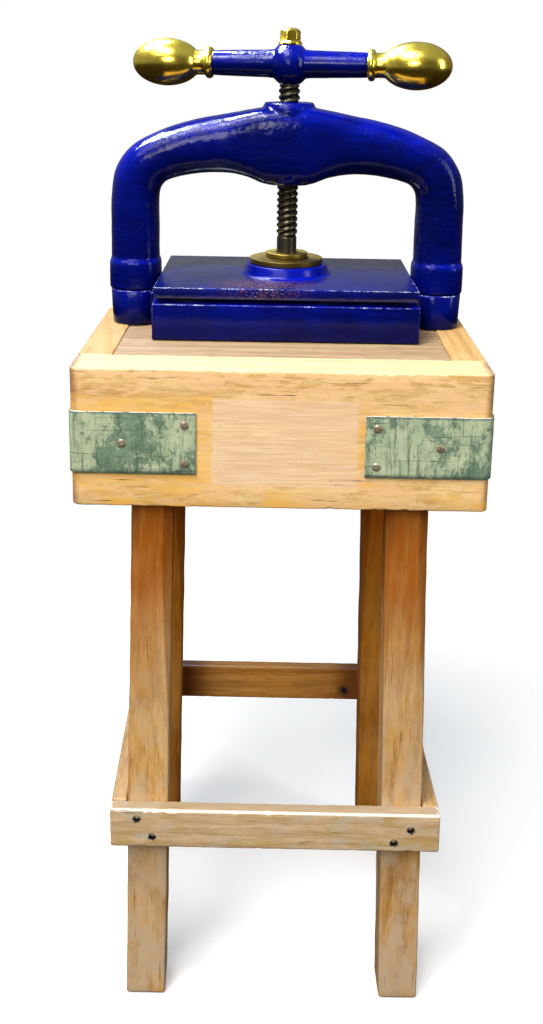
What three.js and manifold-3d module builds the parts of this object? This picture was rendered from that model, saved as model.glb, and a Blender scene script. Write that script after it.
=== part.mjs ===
// Bookbinding press: a cast-iron screw press standing on a pine block with four splayed legs.
// Units are millimetres, +Z is up, the front is -Y, and the origin is on the floor under the middle.
import * as THREE from "three";
import { mergeVertices } from "three/addons/utils/BufferGeometryUtils.js";
import Module from "manifold-3d";

const wasm = await Module();
wasm.setup();

// ---- Driving dimensions -------------------------------------------------------------------------

const GAP = 0.3; // clearance left between pieces that touch

// Stand. Depths are measured from the block's front face, then moved back by ORIGIN_Y.
const ORIGIN_Y = 192.55; // distance from the block's front face to the origin
const BLOCK = { width: 500, depth: 396, height: 171, top: 874, corner: 9, edge: 5 };
const BLOCK_BASE = BLOCK.top - BLOCK.height;
const FRONT_BOARD = 66; // thickness of the front and rear boards
const SIDE_BOARD = 42;
const CORE_BOARDS = 3;
const CORE_DROP = 1.5; // the worn core lies this far under the rim
const LEG = { width: 51.6, outX: 181.8, frontY: 14, backY: 348, splay: 13.7, cut: 12, plain: 390 };
const RACK = 8; // the leg frame is out of square: its rear legs stand this far to the left
const RAIL = { top: 295.4, rearDrop: 8, height: 55, thickness: 20, holeR: 4.6, holeDepth: 13 };
const STRAP = { top: 52, height: 77, reach: 152, thickness: 2, holeR: 2.6 };
const STRAP_SCREWS = [[114, 15], [189, 38.5], [114, 63]]; // [from the middle, below the strap's top]
const SIDE_SCREW_INSETS = [[135, 15], [60, 38.5], [135, 63]]; // [from the corner, below the strap's top]
const SCREW = { headR: 5.1, headH: 1.9, shankR: 2.2, length: 14, slot: 1.2, slotDepth: 0.9 };

// Press. Heights are measured from the block's top, x and y from the screw's axis.
const PRESS = { x: 4, y: 266 };
const BED = { width: 344, depth: 246, top: 47, corner: 4 };
const LUG = { x: 206.5, rx: 33, ry: 41, baseRx: 31, baseRy: 44, top: 46.2 };
const COLUMN = { rx: 32.7, ry: 36, foot: 46.6, exponent: 2.5 };
const COLLAR = { rx: 34.9, ry: 38.8, top: 87, chamfer: 5 };
const BOSS = { bottom: 189.5, top: 298, r: 37.5, lipR: 31.5, bottomR: 29 };
const BODY_EXPONENT = 4; // the arch's section is boxier where it forms the boss's body
const BORE_R = 14.6;
const PLATEN = {
  width: 340, depth: 243, bottom: 53.8, top: 68.3, bossR: 59, bossTopR: 54.5, bossTop: 82.2,
};
const RECESS = { r: 22.5, floor: 71.5 };
const PLATE = { r: 49.5, bottom: 82.5, top: 90 };
const RING = { r: 28.8, top: 97.4 };
const SPINDLE = { crestR: 14.2, rootR: 12.1, endR: 13.4, flangeR: 22, plainTop: 118, shoulder: 321 };
const THREAD = { pitch: 8.5, starts: 2 };
const SHAFT_R = 9.5; // part of the spindle inside the hub
const STUD_R = 7; // part of the spindle inside the cap nut
const HUB = { bottom: 321.6, top: 371.6, r: 26.7 };
const HANDLE = { z: 347.3, turn: -8, rootR: 18, endR: 16.2, end: 103 };
const KNOB = { beadR: 20.6, beadEnd: 112.5, neckR: 16.4, eggStart: 127, eggEnd: 212.4, eggR: 31 };
const WASHER = { r: 15.8, height: 5.8 };
const NUT = { acrossCorners: 27.4, height: 13, dome: 3 };

// Right half of the arch, foot to middle: [outer x, outer z, inner x, inner z, half depth].
const ARCH = [
  [239.2, COLUMN.foot, 173.8, COLUMN.foot, COLUMN.ry],
  [238.5, 130, 174, 130, 36],
  [237.5, 172, 174, 168, 36],
  [231, 208, 171.5, 182, 36],
  [211, 237, 163.5, 191.5, 36],
  [174, 257.5, 146, 197.5, 35.5],
  [128, 273, 116, 203, 35],
  [80, 282.5, 78, 203.5, 35.5],
  [54, 287.5, 53, 199, 37.5],
  [30, 291.5, 30, 190.8, 40],
];
const ARCH_MIDDLE = [0, 293, 0, 190.2, 40.5];
const BODY_STATIONS = 2; // stations next to the middle that share the boss's boxier section

// ---- Colours ------------------------------------------------------------------------------------

function material(color, metalness, roughness) {
  return new THREE.MeshStandardMaterial({ color, metalness, roughness });
}
const BLUE = material(0x0812a0, 0.1, 0.25);
const BRASS = material(0xc29a35, 1, 0.2);
const BRONZE = material(0x8f7436, 1, 0.4);
const STEEL = material(0x6b6152, 1, 0.4);
const PINE = material(0xe0b982, 0, 0.6);
const PINE_CORE = material(0xc9a583, 0, 0.7);
const PINE_LEG = material(0xc08d55, 0, 0.6);
const SAGE = material(0x86a287, 0.3, 0.6);
const RUST = material(0x7d5a46, 0.8, 0.6);

// ---- Solids -------------------------------------------------------------------------------------

// A closed three.js geometry as a manifold solid whose faces point outwards.
function solid(geometry) {
  const source = geometry.index ? geometry.toNonIndexed() : geometry;
  const bare = new THREE.BufferGeometry();
  bare.setAttribute("position", source.getAttribute("position"));
  const merged = mergeVertices(bare, 1e-3);
  const p = merged.attributes.position;
  const index = merged.index.array;
  const corner = [new THREE.Vector3(), new THREE.Vector3(), new THREE.Vector3()];
  const kept = [];
  let volume = 0;
  for (let i = 0; i < index.length; i += 3) {
    const [a, b, c] = index.slice(i, i + 3);
    if (a === b || b === c || c === a) continue;
    kept.push(a, b, c);
    corner.forEach((v, k) => v.fromBufferAttribute(p, index[i + k]));
    volume += corner[0].dot(corner[1].cross(corner[2]));
  }
  if (volume < 0) kept.reverse();
  const mesh = { numProp: 3, vertProperties: p.array, triVerts: new Uint32Array(kept) };
  return new wasm.Manifold(new wasm.Mesh(mesh));
}

function geometryOf(body) {
  const mesh = body.getMesh();
  const geometry = new THREE.BufferGeometry();
  geometry.setAttribute("position", new THREE.Float32BufferAttribute(mesh.vertProperties, 3));
  geometry.setIndex(new THREE.Uint32BufferAttribute(mesh.triVerts, 1));
  const flat = geometry.toNonIndexed();
  flat.computeVertexNormals();
  return flat;
}

const union = (first, ...rest) => rest.reduce((sum, body) => sum.add(body), first);
const cut = (first, ...rest) => rest.reduce((sum, body) => sum.subtract(body), first);

// A skin over rings of points, every ring in the same order, closed by a flat cap at each end.
function loft(rings) {
  const count = rings[0].length;
  const positions = [];
  const face = (...points) => points.forEach((v) => positions.push(v.x, v.y, v.z));
  for (let i = 0; i + 1 < rings.length; i++)
    for (let j = 0; j < count; j++) {
      const k = (j + 1) % count;
      face(rings[i][j], rings[i][k], rings[i + 1][k]);
      face(rings[i][j], rings[i + 1][k], rings[i + 1][j]);
    }
  const last = rings[rings.length - 1];
  for (let j = 1; j + 1 < count; j++) {
    face(rings[0][0], rings[0][j + 1], rings[0][j]);
    face(last[0], last[j], last[j + 1]);
  }
  const geometry = new THREE.BufferGeometry();
  geometry.setAttribute("position", new THREE.Float32BufferAttribute(positions, 3));
  return solid(geometry);
}

// A profile of [radius, height] pairs turned about the Z axis.
function turned(profile, segments) {
  const points = profile.map(([r, z]) => new THREE.Vector2(r, z));
  return solid(new THREE.LatheGeometry(points, segments).rotateX(Math.PI / 2));
}

function rod(r, from, to, segments) {
  return turned([[0, from], [r, from], [r, to], [0, to]], segments);
}

function box(x0, x1, y0, y1, z0, z1) {
  const geometry = new THREE.BoxGeometry(x1 - x0, y1 - y0, z1 - z0);
  return solid(geometry.translate((x0 + x1) / 2, (y0 + y1) / 2, (z0 + z1) / 2));
}

// A rectangle whose four corners may each be rounded: radii in the order (-,-) (+,-) (+,+) (-,+).
function roundedRectangle(x0, x1, y0, y1, radii) {
  const shape = new THREE.Shape();
  const [a, b, c, d] = radii;
  shape.moveTo(x0 + a, y0).lineTo(x1 - b, y0).quadraticCurveTo(x1, y0, x1, y0 + b);
  shape.lineTo(x1, y1 - c).quadraticCurveTo(x1, y1, x1 - c, y1);
  shape.lineTo(x0 + d, y1).quadraticCurveTo(x0, y1, x0, y1 - d);
  shape.lineTo(x0, y0 + a).quadraticCurveTo(x0, y0, x0 + a, y0);
  return shape;
}

function extruded(shape, from, to, curveSegments = 2) {
  const options = { depth: to - from, bevelEnabled: false, curveSegments };
  return solid(new THREE.ExtrudeGeometry(shape, options).translate(0, 0, from));
}

// A board rounded in plan and again in profile. plan and side hold the four corner radii.
function board([x0, x1], [y0, y1], [z0, z1], plan, frontProfile, sideProfile) {
  const flat = extruded(roundedRectangle(x0, x1, y0, y1, plan), z0, z1);
  const acrossX = new THREE.ExtrudeGeometry(roundedRectangle(y0, y1, z0, z1, sideProfile), {
    depth: x1 - x0 + 2, bevelEnabled: false, curveSegments: 2,
  });
  // local (x, y, z) -> world (z, x, y)
  acrossX.applyMatrix4(new THREE.Matrix4().set(0, 0, 1, x0 - 1, 1, 0, 0, 0, 0, 1, 0, 0, 0, 0, 0, 1));
  const acrossY = new THREE.ExtrudeGeometry(roundedRectangle(x0, x1, z0, z1, frontProfile), {
    depth: y1 - y0 + 2, bevelEnabled: false, curveSegments: 2,
  });
  // local (x, y, z) -> world (x, -z, y)
  acrossY.rotateX(Math.PI / 2).translate(0, y1 + 1, 0);
  return flat.intersect(solid(acrossX)).intersect(solid(acrossY));
}

// Points of a superellipse of half axes a and b: exponent 2 is an ellipse, more is squarer.
function superellipse(a, b, exponent, count) {
  const points = [];
  for (let i = 0; i < count; i++) {
    const angle = (2 * Math.PI * i) / count;
    const c = Math.cos(angle);
    const s = Math.sin(angle);
    const power = 2 / exponent;
    points.push([a * Math.sign(c) * Math.abs(c) ** power, b * Math.sign(s) * Math.abs(s) ** power]);
  }
  return points;
}

// ---- Press --------------------------------------------------------------------------------------

// A stack of superellipse sections at x, from [half width, half depth, height] triples.
function footStack(x, sections) {
  return loft(sections.map(([rx, ry, z]) =>
    superellipse(rx, ry, 2.6, 20).map(([u, v]) => new THREE.Vector3(x + u, v, z))));
}

function baseCasting() {
  const { width, depth, top, corner } = BED;
  const corners = [corner, corner, corner, corner];
  const edges = [0.8, 0.8, 1.4, 1.4];
  const w = width / 2;
  const d = depth / 2;
  let body = board([-w, w], [-d, d], [GAP, top], corners, edges, edges);
  for (const side of [-1, 1]) {
    const lug = footStack(side * LUG.x, [
      [LUG.baseRx - 1, LUG.baseRy - 1, GAP],
      [LUG.baseRx, LUG.baseRy, 2],
      [LUG.rx, LUG.ry, LUG.top],
    ]);
    const [near, far] = side < 0 ? [-LUG.x, -w + 12] : [w - 12, LUG.x];
    body = union(body, lug, box(near, far, -34, 34, 1, LUG.top - 1.2));
  }
  return body;
}

// The arch: one section swept from foot to foot, collars at the feet and the round boss in the middle.
function archFrame() {
  const left = ARCH.map(([ox, oz, ix, iz, d]) => [-ox, oz, -ix, iz, d]);
  const stations = [...left, ARCH_MIDDLE, ...[...ARCH].reverse()];
  const through = (pick) =>
    new THREE.CatmullRomCurve3(stations.map(pick), false, "centripetal");
  const outer = through(([ox, oz]) => new THREE.Vector3(ox, 0, oz));
  const inner = through(([, , ix, iz]) => new THREE.Vector3(ix, 0, iz));
  const depths = through(([, , , , d], i) => new THREE.Vector3(d, i * 10, 0));
  const exponents = through((_, i) => {
    const boxy = Math.abs(i - ARCH.length) <= BODY_STATIONS;
    return new THREE.Vector3(boxy ? BODY_EXPONENT : COLUMN.exponent, i * 10, 0);
  });
  const steps = 2 * (stations.length - 1);
  const rings = [];
  for (let i = 0; i <= steps; i++) {
    const o = outer.getPoint(i / steps);
    const n = inner.getPoint(i / steps);
    const middle = o.clone().add(n).multiplyScalar(0.5);
    const across = o.clone().sub(n).multiplyScalar(0.5);
    const halfDepth = depths.getPoint(i / steps).x;
    const exponent = exponents.getPoint(i / steps).x;
    rings.push(superellipse(1, halfDepth, exponent, 20).map(([u, v]) =>
      middle.clone().addScaledVector(across, u).setY(-v)));
  }
  let body = loft(rings);
  for (const side of [-1, 1]) {
    const { rx, ry, top, chamfer } = COLLAR;
    body = union(body, footStack(side * LUG.x, [
      [rx, ry, COLUMN.foot],
      [rx, ry, top - chamfer],
      [rx - 2.6, ry - 2.6, top],
    ]));
  }
  const { bottom, top, r, lipR, bottomR } = BOSS;
  const boss = turned([
    [0, bottom], [bottomR, bottom], [r - 2, bottom + 6], [r, bottom + 14],
    [r, top - 14], [r - 1.5, top - 8], [lipR + 1, top - 1.2], [lipR, top], [0, top],
  ], 32);
  return cut(union(body, boss), rod(BORE_R, bottom - 5, top + 5, 24));
}

function platen() {
  const { width, depth, bottom, top, bossR, bossTopR, bossTop } = PLATEN;
  const w = width / 2;
  const d = depth / 2;
  const edges = [1, 1, 1, 1];
  const plate = board([-w, w], [-d, d], [bottom, top], [3, 3, 3, 3], edges, edges);
  const boss = turned([
    [0, top - 2], [bossR + 2.5, top - 1], [bossR + 0.6, top + 1.6], [bossR - 0.6, top + 3],
    [bossTopR + 0.4, bossTop - 1], [bossTopR - 1, bossTop], [0, bossTop],
  ], 40);
  return cut(union(plate, boss), rod(RECESS.r, RECESS.floor, bossTop + 5, 24));
}

function retainingPlate() {
  const { r, bottom, top } = PLATE;
  const disc = turned([
    [0, bottom], [r - 1, bottom], [r, bottom + 1], [r, top - 1.2], [r - 1.2, top], [0, top],
  ], 36);
  return cut(disc, rod(BORE_R, bottom - 5, top + 5, 24));
}

function retainingRing() {
  const { r, top } = RING;
  const base = PLATE.top + GAP;
  const ring = turned([
    [0, base], [r - 0.6, base], [r, base + 0.8], [r, top - 1.6], [r - 1.6, top], [0, top],
  ], 32);
  return cut(ring, rod(BORE_R, base - 5, top + 5, 24));
}

// A right-hand trapezoidal thread. Every row of points follows the helix, so its crests stay sharp.
function thread(from, to) {
  const { pitch, starts } = THREAD;
  const around = 16;
  const form = [SPINDLE.crestR, SPINDLE.crestR, SPINDLE.rootR, SPINDLE.rootR];
  const offsets = [0, 0.3, 0.5, 0.8];
  const perTurn = form.length * starts;
  const rows = Math.ceil(((to - from) / pitch + starts + 2) * form.length);
  const at = (i, j) => {
    const row = j + (i >= around ? perTurn : 0);
    const angle = (2 * Math.PI * (i % around)) / around;
    const r = form[((row % form.length) + form.length) % form.length];
    const turn = Math.floor(row / form.length) + offsets[row % form.length];
    const z = from + pitch * (turn - starts - 1 + (starts * (i % around)) / around);
    return new THREE.Vector3(r * Math.cos(angle), r * Math.sin(angle), z);
  };
  const positions = [];
  const face = (...points) => points.forEach((v) => positions.push(v.x, v.y, v.z));
  for (let j = 0; j < rows; j++)
    for (let i = 0; i < around; i++) {
      face(at(i, j), at(i + 1, j), at(i + 1, j + 1));
      face(at(i, j), at(i + 1, j + 1), at(i, j + 1));
    }
  // Close both ends: a fan from a point on the axis to the open edge, which steps up by one lead.
  const closeEnd = (row, height, upward) => {
    const rim = [];
    for (let i = 0; i < around; i++) rim.push(at(i, row));
    for (let j = row + perTurn; j > row; j--) rim.push(at(0, j));
    const hub = new THREE.Vector3(0, 0, height);
    rim.forEach((v, k) => {
      const next = rim[(k + 1) % rim.length];
      upward ? face(hub, v, next) : face(hub, next, v);
    });
  };
  closeEnd(0, at(0, 0).z - pitch, false);
  closeEnd(rows, at(0, rows + perTurn).z + pitch, true);
  const geometry = new THREE.BufferGeometry();
  geometry.setAttribute("position", new THREE.Float32BufferAttribute(positions, 3));
  return solid(geometry).intersect(box(-40, 40, -40, 40, from, to));
}

function spindle() {
  const { endR, flangeR, plainTop, shoulder, rootR, crestR } = SPINDLE;
  const foot = RECESS.floor + GAP;
  const flangeTop = PLATE.bottom - GAP;
  const lower = turned([
    [0, foot], [flangeR, foot], [flangeR, flangeTop], [endR, flangeTop], [endR, plainTop],
    [rootR - 0.6, plainTop + 2], [0, plainTop + 2],
  ], 24);
  const studTop = HUB.top + WASHER.height + NUT.height - 4;
  const upper = turned([
    [0, shoulder - 3], [rootR, shoulder - 3], [crestR - 0.8, shoulder - 2], [crestR - 0.8, shoulder],
    [SHAFT_R, shoulder], [SHAFT_R, HUB.top - 1], [STUD_R, HUB.top - 1], [STUD_R, studTop], [0, studTop],
  ], 16);
  return union(thread(plainTop, shoulder - 2.5), lower, upper);
}

// Turns a solid of revolution about Z so that it lies along +X or -X at the handle's height.
function alongHandle(body, side) {
  return body.rotate([0, 90 * side, 0]).translate([0, 0, HANDLE.z]).rotate([0, 0, HANDLE.turn]);
}

function handleBar() {
  const { bottom, top, r } = HUB;
  const middle = (bottom + top) / 2;
  const hub = turned([
    [0, bottom], [14, bottom], [19.5, bottom + 5], [24.4, middle - 13], [r, middle - 4],
    [r, middle + 4], [24.4, middle + 13], [20, top - 5], [15.6, top], [0, top],
  ], 28);
  const { rootR, endR, end } = HANDLE;
  const arm = turned([[0, 0], [rootR + 0.6, 0], [rootR + 0.6, 22], [rootR, 30], [endR, end], [0, end]], 24);
  const body = union(hub, alongHandle(arm, -1), alongHandle(arm, 1));
  return cut(body, rod(SHAFT_R + GAP, bottom - 5, top + 5, 16));
}

function knob(side) {
  const { beadR, beadEnd, neckR, eggStart, eggEnd, eggR } = KNOB;
  const start = HANDLE.end + GAP;
  // The egg is an ellipse that meets the neck's radius exactly at eggStart.
  const first = Math.PI - Math.asin(neckR / eggR);
  const half = (eggEnd - eggStart) / (1 - Math.cos(first));
  const middle = eggEnd - half;
  const profile = [
    [0, start], [neckR + 1, start], [beadR - 1, start + 2], [beadR, (start + beadEnd) / 2],
    [beadR - 1, beadEnd - 2], [neckR, beadEnd],
  ];
  const steps = 10;
  for (let i = 0; i <= steps; i++) {
    const a = first * (1 - i / steps);
    const r = i === steps ? 0 : eggR * Math.sin(a);
    profile.push([r, middle + half * Math.cos(a)]);
  }
  return alongHandle(turned(profile, 24), side);
}

function washer() {
  const base = HUB.top + GAP;
  const { r, height } = WASHER;
  const body = turned([[0, base], [r - 0.8, base], [r, base + 1], [r, base + height - 2.4],
    [r - 2, base + height - GAP], [0, base + height - GAP]], 24);
  return cut(body, rod(STUD_R + GAP, base - 5, base + height + 5, 16));
}

function capNut() {
  const base = HUB.top + WASHER.height + GAP;
  const r = NUT.acrossCorners / 2;
  const top = base + NUT.height;
  const hexagon = turned([[0, base], [r, base], [r, top], [0, top]], 6);
  const dome = turned([[0, base - 1], [r + 1, base - 1], [r + 1, top - 3], [r * 0.86, top - 0.5],
    [r * 0.5, top + NUT.dome - 1], [0, top + NUT.dome]], 16);
  const whole = turned([[0, base], [r, base], [r, top + NUT.dome], [0, top + NUT.dome]], 6);
  const body = union(hexagon, whole).intersect(dome);
  return cut(body, rod(STUD_R + GAP, base - 5, base + NUT.height - 3.5, 16));
}

// ---- Stand --------------------------------------------------------------------------------------

// Screw shank holes in the faces of the block, each a short rod along the face's normal.
function screwSites() {
  const { width, depth, top } = BLOCK;
  const sites = [];
  for (const x of [-1, 1])
    for (const y of [-1, 1]) {
      const corner = `${y < 0 ? "front" : "rear"}_${x < 0 ? "left" : "right"}`;
      STRAP_SCREWS.forEach(([from, drop], i) => sites.push({
        name: `screw_${corner}_face_${i + 1}`,
        at: [x * from, y < 0 ? 0 : depth, top - STRAP.top - drop],
        normal: [0, y, 0],
      }));
      SIDE_SCREW_INSETS.forEach(([inset, drop], i) => sites.push({
        name: `screw_${corner}_side_${i + 1}`,
        at: [(x * width) / 2, y < 0 ? inset : depth - inset, top - STRAP.top - drop],
        normal: [x, 0, 0],
      }));
    }
  return sites;
}

// Moves a solid made about +Z, outward side up, onto a screw site.
function placed(body, { at, normal }) {
  const turn = normal[0] ? [0, 90 * normal[0], 0] : [-90 * normal[1], 0, 0];
  return body.rotate(turn).translate(at);
}

const SITES = screwSites();
const SCREW_HOLES = union(...SITES.map((site) =>
  placed(rod(STRAP.holeR, -SCREW.length - 1.5, STRAP.thickness + 3, 8), site)));

function blockBoards() {
  const { width, depth, top, corner, edge } = BLOCK;
  const w = width / 2;
  const z = [BLOCK_BASE, top];
  const seam = 0.8;
  const inside = [FRONT_BOARD + GAP, depth - FRONT_BOARD - GAP];
  const ends = [edge, edge, edge, edge];
  const parts = {
    block_front_board: board([-w, w], [0, FRONT_BOARD], z,
      [corner, corner, seam, seam], ends, [edge, seam, seam, edge]),
    block_rear_board: board([-w, w], [depth - FRONT_BOARD, depth], z,
      [seam, seam, corner, corner], ends, [seam, edge, edge, seam]),
    block_side_board_left: board([-w, -w + SIDE_BOARD], inside, z,
      [seam, seam, seam, seam], [edge, seam, seam, edge], [seam, seam, seam, seam]),
    block_side_board_right: board([w - SIDE_BOARD, w], inside, z,
      [seam, seam, seam, seam], [seam, edge, edge, seam], [seam, seam, seam, seam]),
  };
  for (const name of Object.keys(parts)) parts[name] = cut(parts[name], SCREW_HOLES);
  const inner = w - SIDE_BOARD - GAP;
  const strip = (inside[1] - inside[0] + GAP) / CORE_BOARDS;
  ["front", "middle", "rear"].forEach((place, i) => {
    const y0 = inside[0] + GAP + i * strip;
    const round = [seam, seam, seam, seam];
    parts[`block_core_${place}`] = board([-inner, inner], [y0, y0 + strip - 2 * GAP],
      [BLOCK_BASE, top - CORE_DROP], round, round, round);
  });
  return parts;
}

// How far a leg's outer faces have moved outwards at height z.
function lean(z) {
  return LEG.splay * (1 - z / BLOCK_BASE);
}

// A square leg that leans outwards. Its upper edges are planed into long chamfers that die away.
function leg(sx, sy) {
  const { width, outX, frontY, backY, cut: wide, plain } = LEG;
  const ring = (z, c, shrink = 0) => {
    const x1 = sx * (outX + lean(z) - shrink);
    const x0 = sx * (outX + lean(z) - width + shrink);
    const outY = sy < 0 ? frontY - lean(z) : backY + lean(z);
    const y1 = outY - sy * shrink;
    const y0 = outY - sy * (width - shrink);
    const dx = sx * c;
    const dy = sy * c;
    const points = [[x0, y0 + dy], [x0 + dx, y0], [x1 - dx, y0], [x1, y0 + dy],
      [x1, y1 - dy], [x1 - dx, y1], [x0 + dx, y1], [x0, y1 - dy]];
    return points.map(([x, y]) => new THREE.Vector3(x, y, z));
  };
  const edge = 1.5;
  return loft([
    ring(0, edge, 3), ring(4, edge), ring(plain, edge), ring(plain + 120, wide * 0.62),
    ring(BLOCK_BASE - 60, wide), ring(BLOCK_BASE - GAP, wide),
  ]);
}

// Slides a body of the leg frame sideways in proportion to its depth behind the front legs.
function racked(body) {
  const from = LEG.frontY + LEG.width / 2;
  const slope = -RACK / (LEG.backY - LEG.frontY - LEG.width);
  return body.transform([1, 0, 0, 0, slope, 1, 0, 0, 0, 0, 1, 0, -slope * from, 0, 0, 1]);
}

// A rail with sunk screw holes near both ends. along is "x" for front and rear, "y" for the sides.
function rail(along, [a0, a1], [b0, b1], outward, holes) {
  const z = [RAIL.top - RAIL.height, RAIL.top];
  const r = [2, 2, 2, 2];
  const [xs, ys] = along === "x" ? [[a0, a1], [b0, b1]] : [[b0, b1], [a0, a1]];
  let body = board(xs, ys, z, r, r, r);
  const face = outward < 0 ? b0 : b1;
  for (const [position, drop] of holes) {
    const at = along === "x" ? [position, face, RAIL.top - drop] : [face, position, RAIL.top - drop];
    const normal = along === "x" ? [0, outward, 0] : [outward, 0, 0];
    body = cut(body, placed(rod(RAIL.holeR, -RAIL.holeDepth, 3, 10), { at, normal }));
  }
  return body;
}

function rails() {
  const low = RAIL.top - RAIL.height - RAIL.rearDrop;
  const t = RAIL.thickness;
  const side = LEG.outX + lean(low) + GAP;
  const front = LEG.frontY - lean(low) - GAP;
  const back = LEG.backY + lean(low) + GAP;
  const x = side + t;
  const acrossHoles = [[-177, 14], [-157, 40], [153, 42], [174, 23]];
  const sideHoles = [[front + 24, 15], [front + 42, 40], [back - 42, 40], [back - 24, 15]];
  return {
    rail_front: rail("x", [-x, x], [front - t, front], -1, acrossHoles),
    rail_rear: rail("x", [-x, x], [back, back + t], 1, acrossHoles).translate([0, 0, -RAIL.rearDrop]),
    rail_left: rail("y", [front + GAP, back - GAP], [-x, -side], -1, sideHoles),
    rail_right: rail("y", [front + GAP, back - GAP], [side, x], 1, sideHoles),
  };
}

// A flat bar bent round one vertical corner of the block.
function strap(sx, sy) {
  const { width, depth, top, corner } = BLOCK;
  const { thickness: t, reach, height } = STRAP;
  const w = width / 2 + GAP;
  const outline = (grow, r) => {
    const near = -GAP - grow;
    const far = depth + GAP + grow;
    return roundedRectangle(-w - grow, w + grow, near, far, [r, r, r, r]);
  };
  const z1 = top - STRAP.top;
  const z0 = z1 - height;
  const band = cut(extruded(outline(t, corner + t), z0, z1, 5),
    extruded(outline(0, corner), z0 - 1, z1 + 1, 5));
  const xs = [sx * (w + t + 1), sx * (w + t - reach)].sort((a, b) => a - b);
  const edgeY = sy < 0 ? -GAP - t - 1 : depth + GAP + t + 1;
  const ys = [edgeY, edgeY - sy * reach].sort((a, b) => a - b);
  return cut(band.intersect(box(...xs, ...ys, z0 - 1, z1 + 1)), SCREW_HOLES);
}

function strapScrew(site) {
  const { headR, headH, shankR, length, slot, slotDepth } = SCREW;
  const base = STRAP.thickness + 2 * GAP;
  const body = turned([[0, -length], [shankR, -length + 3], [shankR, base], [headR, base],
    [headR - 0.9, base + headH * 0.7], [0, base + headH]], 10);
  const groove = box(-headR - 1, headR + 1, -slot / 2, slot / 2, base + headH - slotDepth, base + 9);
  const turn = (site.at[0] * 7 + site.at[2] * 13 + site.at[1]) % 180;
  return placed(cut(body, groove).rotate([0, 0, turn]), site);
}

// ---- Assembly -----------------------------------------------------------------------------------

const group = new THREE.Group();
group.name = "bookbinding_press";

function add(name, body, look, offset) {
  const mesh = new THREE.Mesh(geometryOf(body.translate(offset)), look);
  mesh.name = name;
  group.add(mesh);
}

const STAND_AT = [0, -ORIGIN_Y, 0];
const PRESS_AT = [PRESS.x, PRESS.y - ORIGIN_Y, BLOCK.top];

for (const [name, body] of Object.entries(blockBoards()))
  add(name, body, name.includes("core") ? PINE_CORE : PINE, STAND_AT);
for (const sy of [-1, 1])
  for (const sx of [-1, 1]) {
    const corner = `${sy < 0 ? "front" : "rear"}_${sx < 0 ? "left" : "right"}`;
    add(`leg_${corner}`, racked(leg(sx, sy)), PINE_LEG, STAND_AT);
    add(`strap_${corner}`, strap(sx, sy), SAGE, STAND_AT);
  }
for (const [name, body] of Object.entries(rails())) add(name, racked(body), PINE_LEG, STAND_AT);
for (const site of SITES) add(site.name, strapScrew(site), RUST, STAND_AT);

add("base_casting", baseCasting(), BLUE, PRESS_AT);
add("arch_frame", archFrame(), BLUE, PRESS_AT);
add("platen", platen(), BLUE, PRESS_AT);
add("retaining_plate", retainingPlate(), BRONZE, PRESS_AT);
add("retaining_ring", retainingRing(), BRASS, PRESS_AT);
add("spindle", spindle(), STEEL, PRESS_AT);
add("handle_bar", handleBar(), BLUE, PRESS_AT);
add("knob_left", knob(-1), BRASS, PRESS_AT);
add("knob_right", knob(1), BRASS, PRESS_AT);
add("cap_washer", washer(), BRASS, PRESS_AT);
add("cap_nut", capNut(), BRASS, PRESS_AT);

export default group;
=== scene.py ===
"""Looks for the bookbinding press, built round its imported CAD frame. Metres, +Z up, front at -Y."""

import math
import random

import bmesh
import bpy
from mathutils import Matrix, Vector, noise


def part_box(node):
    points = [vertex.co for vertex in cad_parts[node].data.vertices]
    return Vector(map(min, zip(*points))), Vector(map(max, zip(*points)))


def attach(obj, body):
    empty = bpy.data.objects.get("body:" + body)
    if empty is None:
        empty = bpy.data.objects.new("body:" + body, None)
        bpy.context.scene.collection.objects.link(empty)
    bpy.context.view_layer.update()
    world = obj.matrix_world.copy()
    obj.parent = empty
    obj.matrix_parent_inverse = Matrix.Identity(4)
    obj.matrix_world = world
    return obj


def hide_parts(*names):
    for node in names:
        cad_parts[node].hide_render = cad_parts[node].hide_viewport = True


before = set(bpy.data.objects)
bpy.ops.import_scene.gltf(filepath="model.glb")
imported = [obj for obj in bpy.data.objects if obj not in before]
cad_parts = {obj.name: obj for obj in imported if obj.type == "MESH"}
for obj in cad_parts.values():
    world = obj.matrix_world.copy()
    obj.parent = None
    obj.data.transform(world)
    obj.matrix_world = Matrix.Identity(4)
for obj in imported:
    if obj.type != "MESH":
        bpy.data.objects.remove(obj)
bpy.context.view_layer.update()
MM = 0.001
WORLD = Matrix.Identity(4)

# ---- places taken from the frame
_lo, _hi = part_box("spindle")
AXIS_X, AXIS_Y = (_lo.x + _hi.x) / 2, (_lo.y + _hi.y) / 2
_lo, _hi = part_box("block_front_board")
BLOCK_TOP, BLOCK_LOW, FRONT_Y, HALF_W = _hi.z, _lo.z, _lo.y, _hi.x
BACK_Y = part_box("block_rear_board")[1].y
PRESS = Matrix.Translation((AXIS_X, AXIS_Y, BLOCK_TOP))


# ---- mesh helpers
def make(name, verts, faces, at=WORLD):
    """A mesh object whose vertices are in the row frame; verts are in millimetres before at."""
    mesh = bpy.data.meshes.new(name)
    mesh.from_pydata([at @ (Vector(v) * MM) for v in verts], [], faces)
    bm = bmesh.new()
    bm.from_mesh(mesh)
    bmesh.ops.remove_doubles(bm, verts=bm.verts, dist=1e-6)
    bmesh.ops.recalc_face_normals(bm, faces=bm.faces)
    bm.to_mesh(mesh)
    bm.free()
    shade(mesh)
    return link(name, mesh)


def link(name, data):
    obj = bpy.data.objects.new(name, data)
    bpy.context.scene.collection.objects.link(obj)
    return obj


def shade(mesh):
    """Smooth shading everywhere but on flat end caps, which have more than four corners."""
    for polygon in mesh.polygons:
        polygon.use_smooth = polygon.loop_total <= 4


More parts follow.
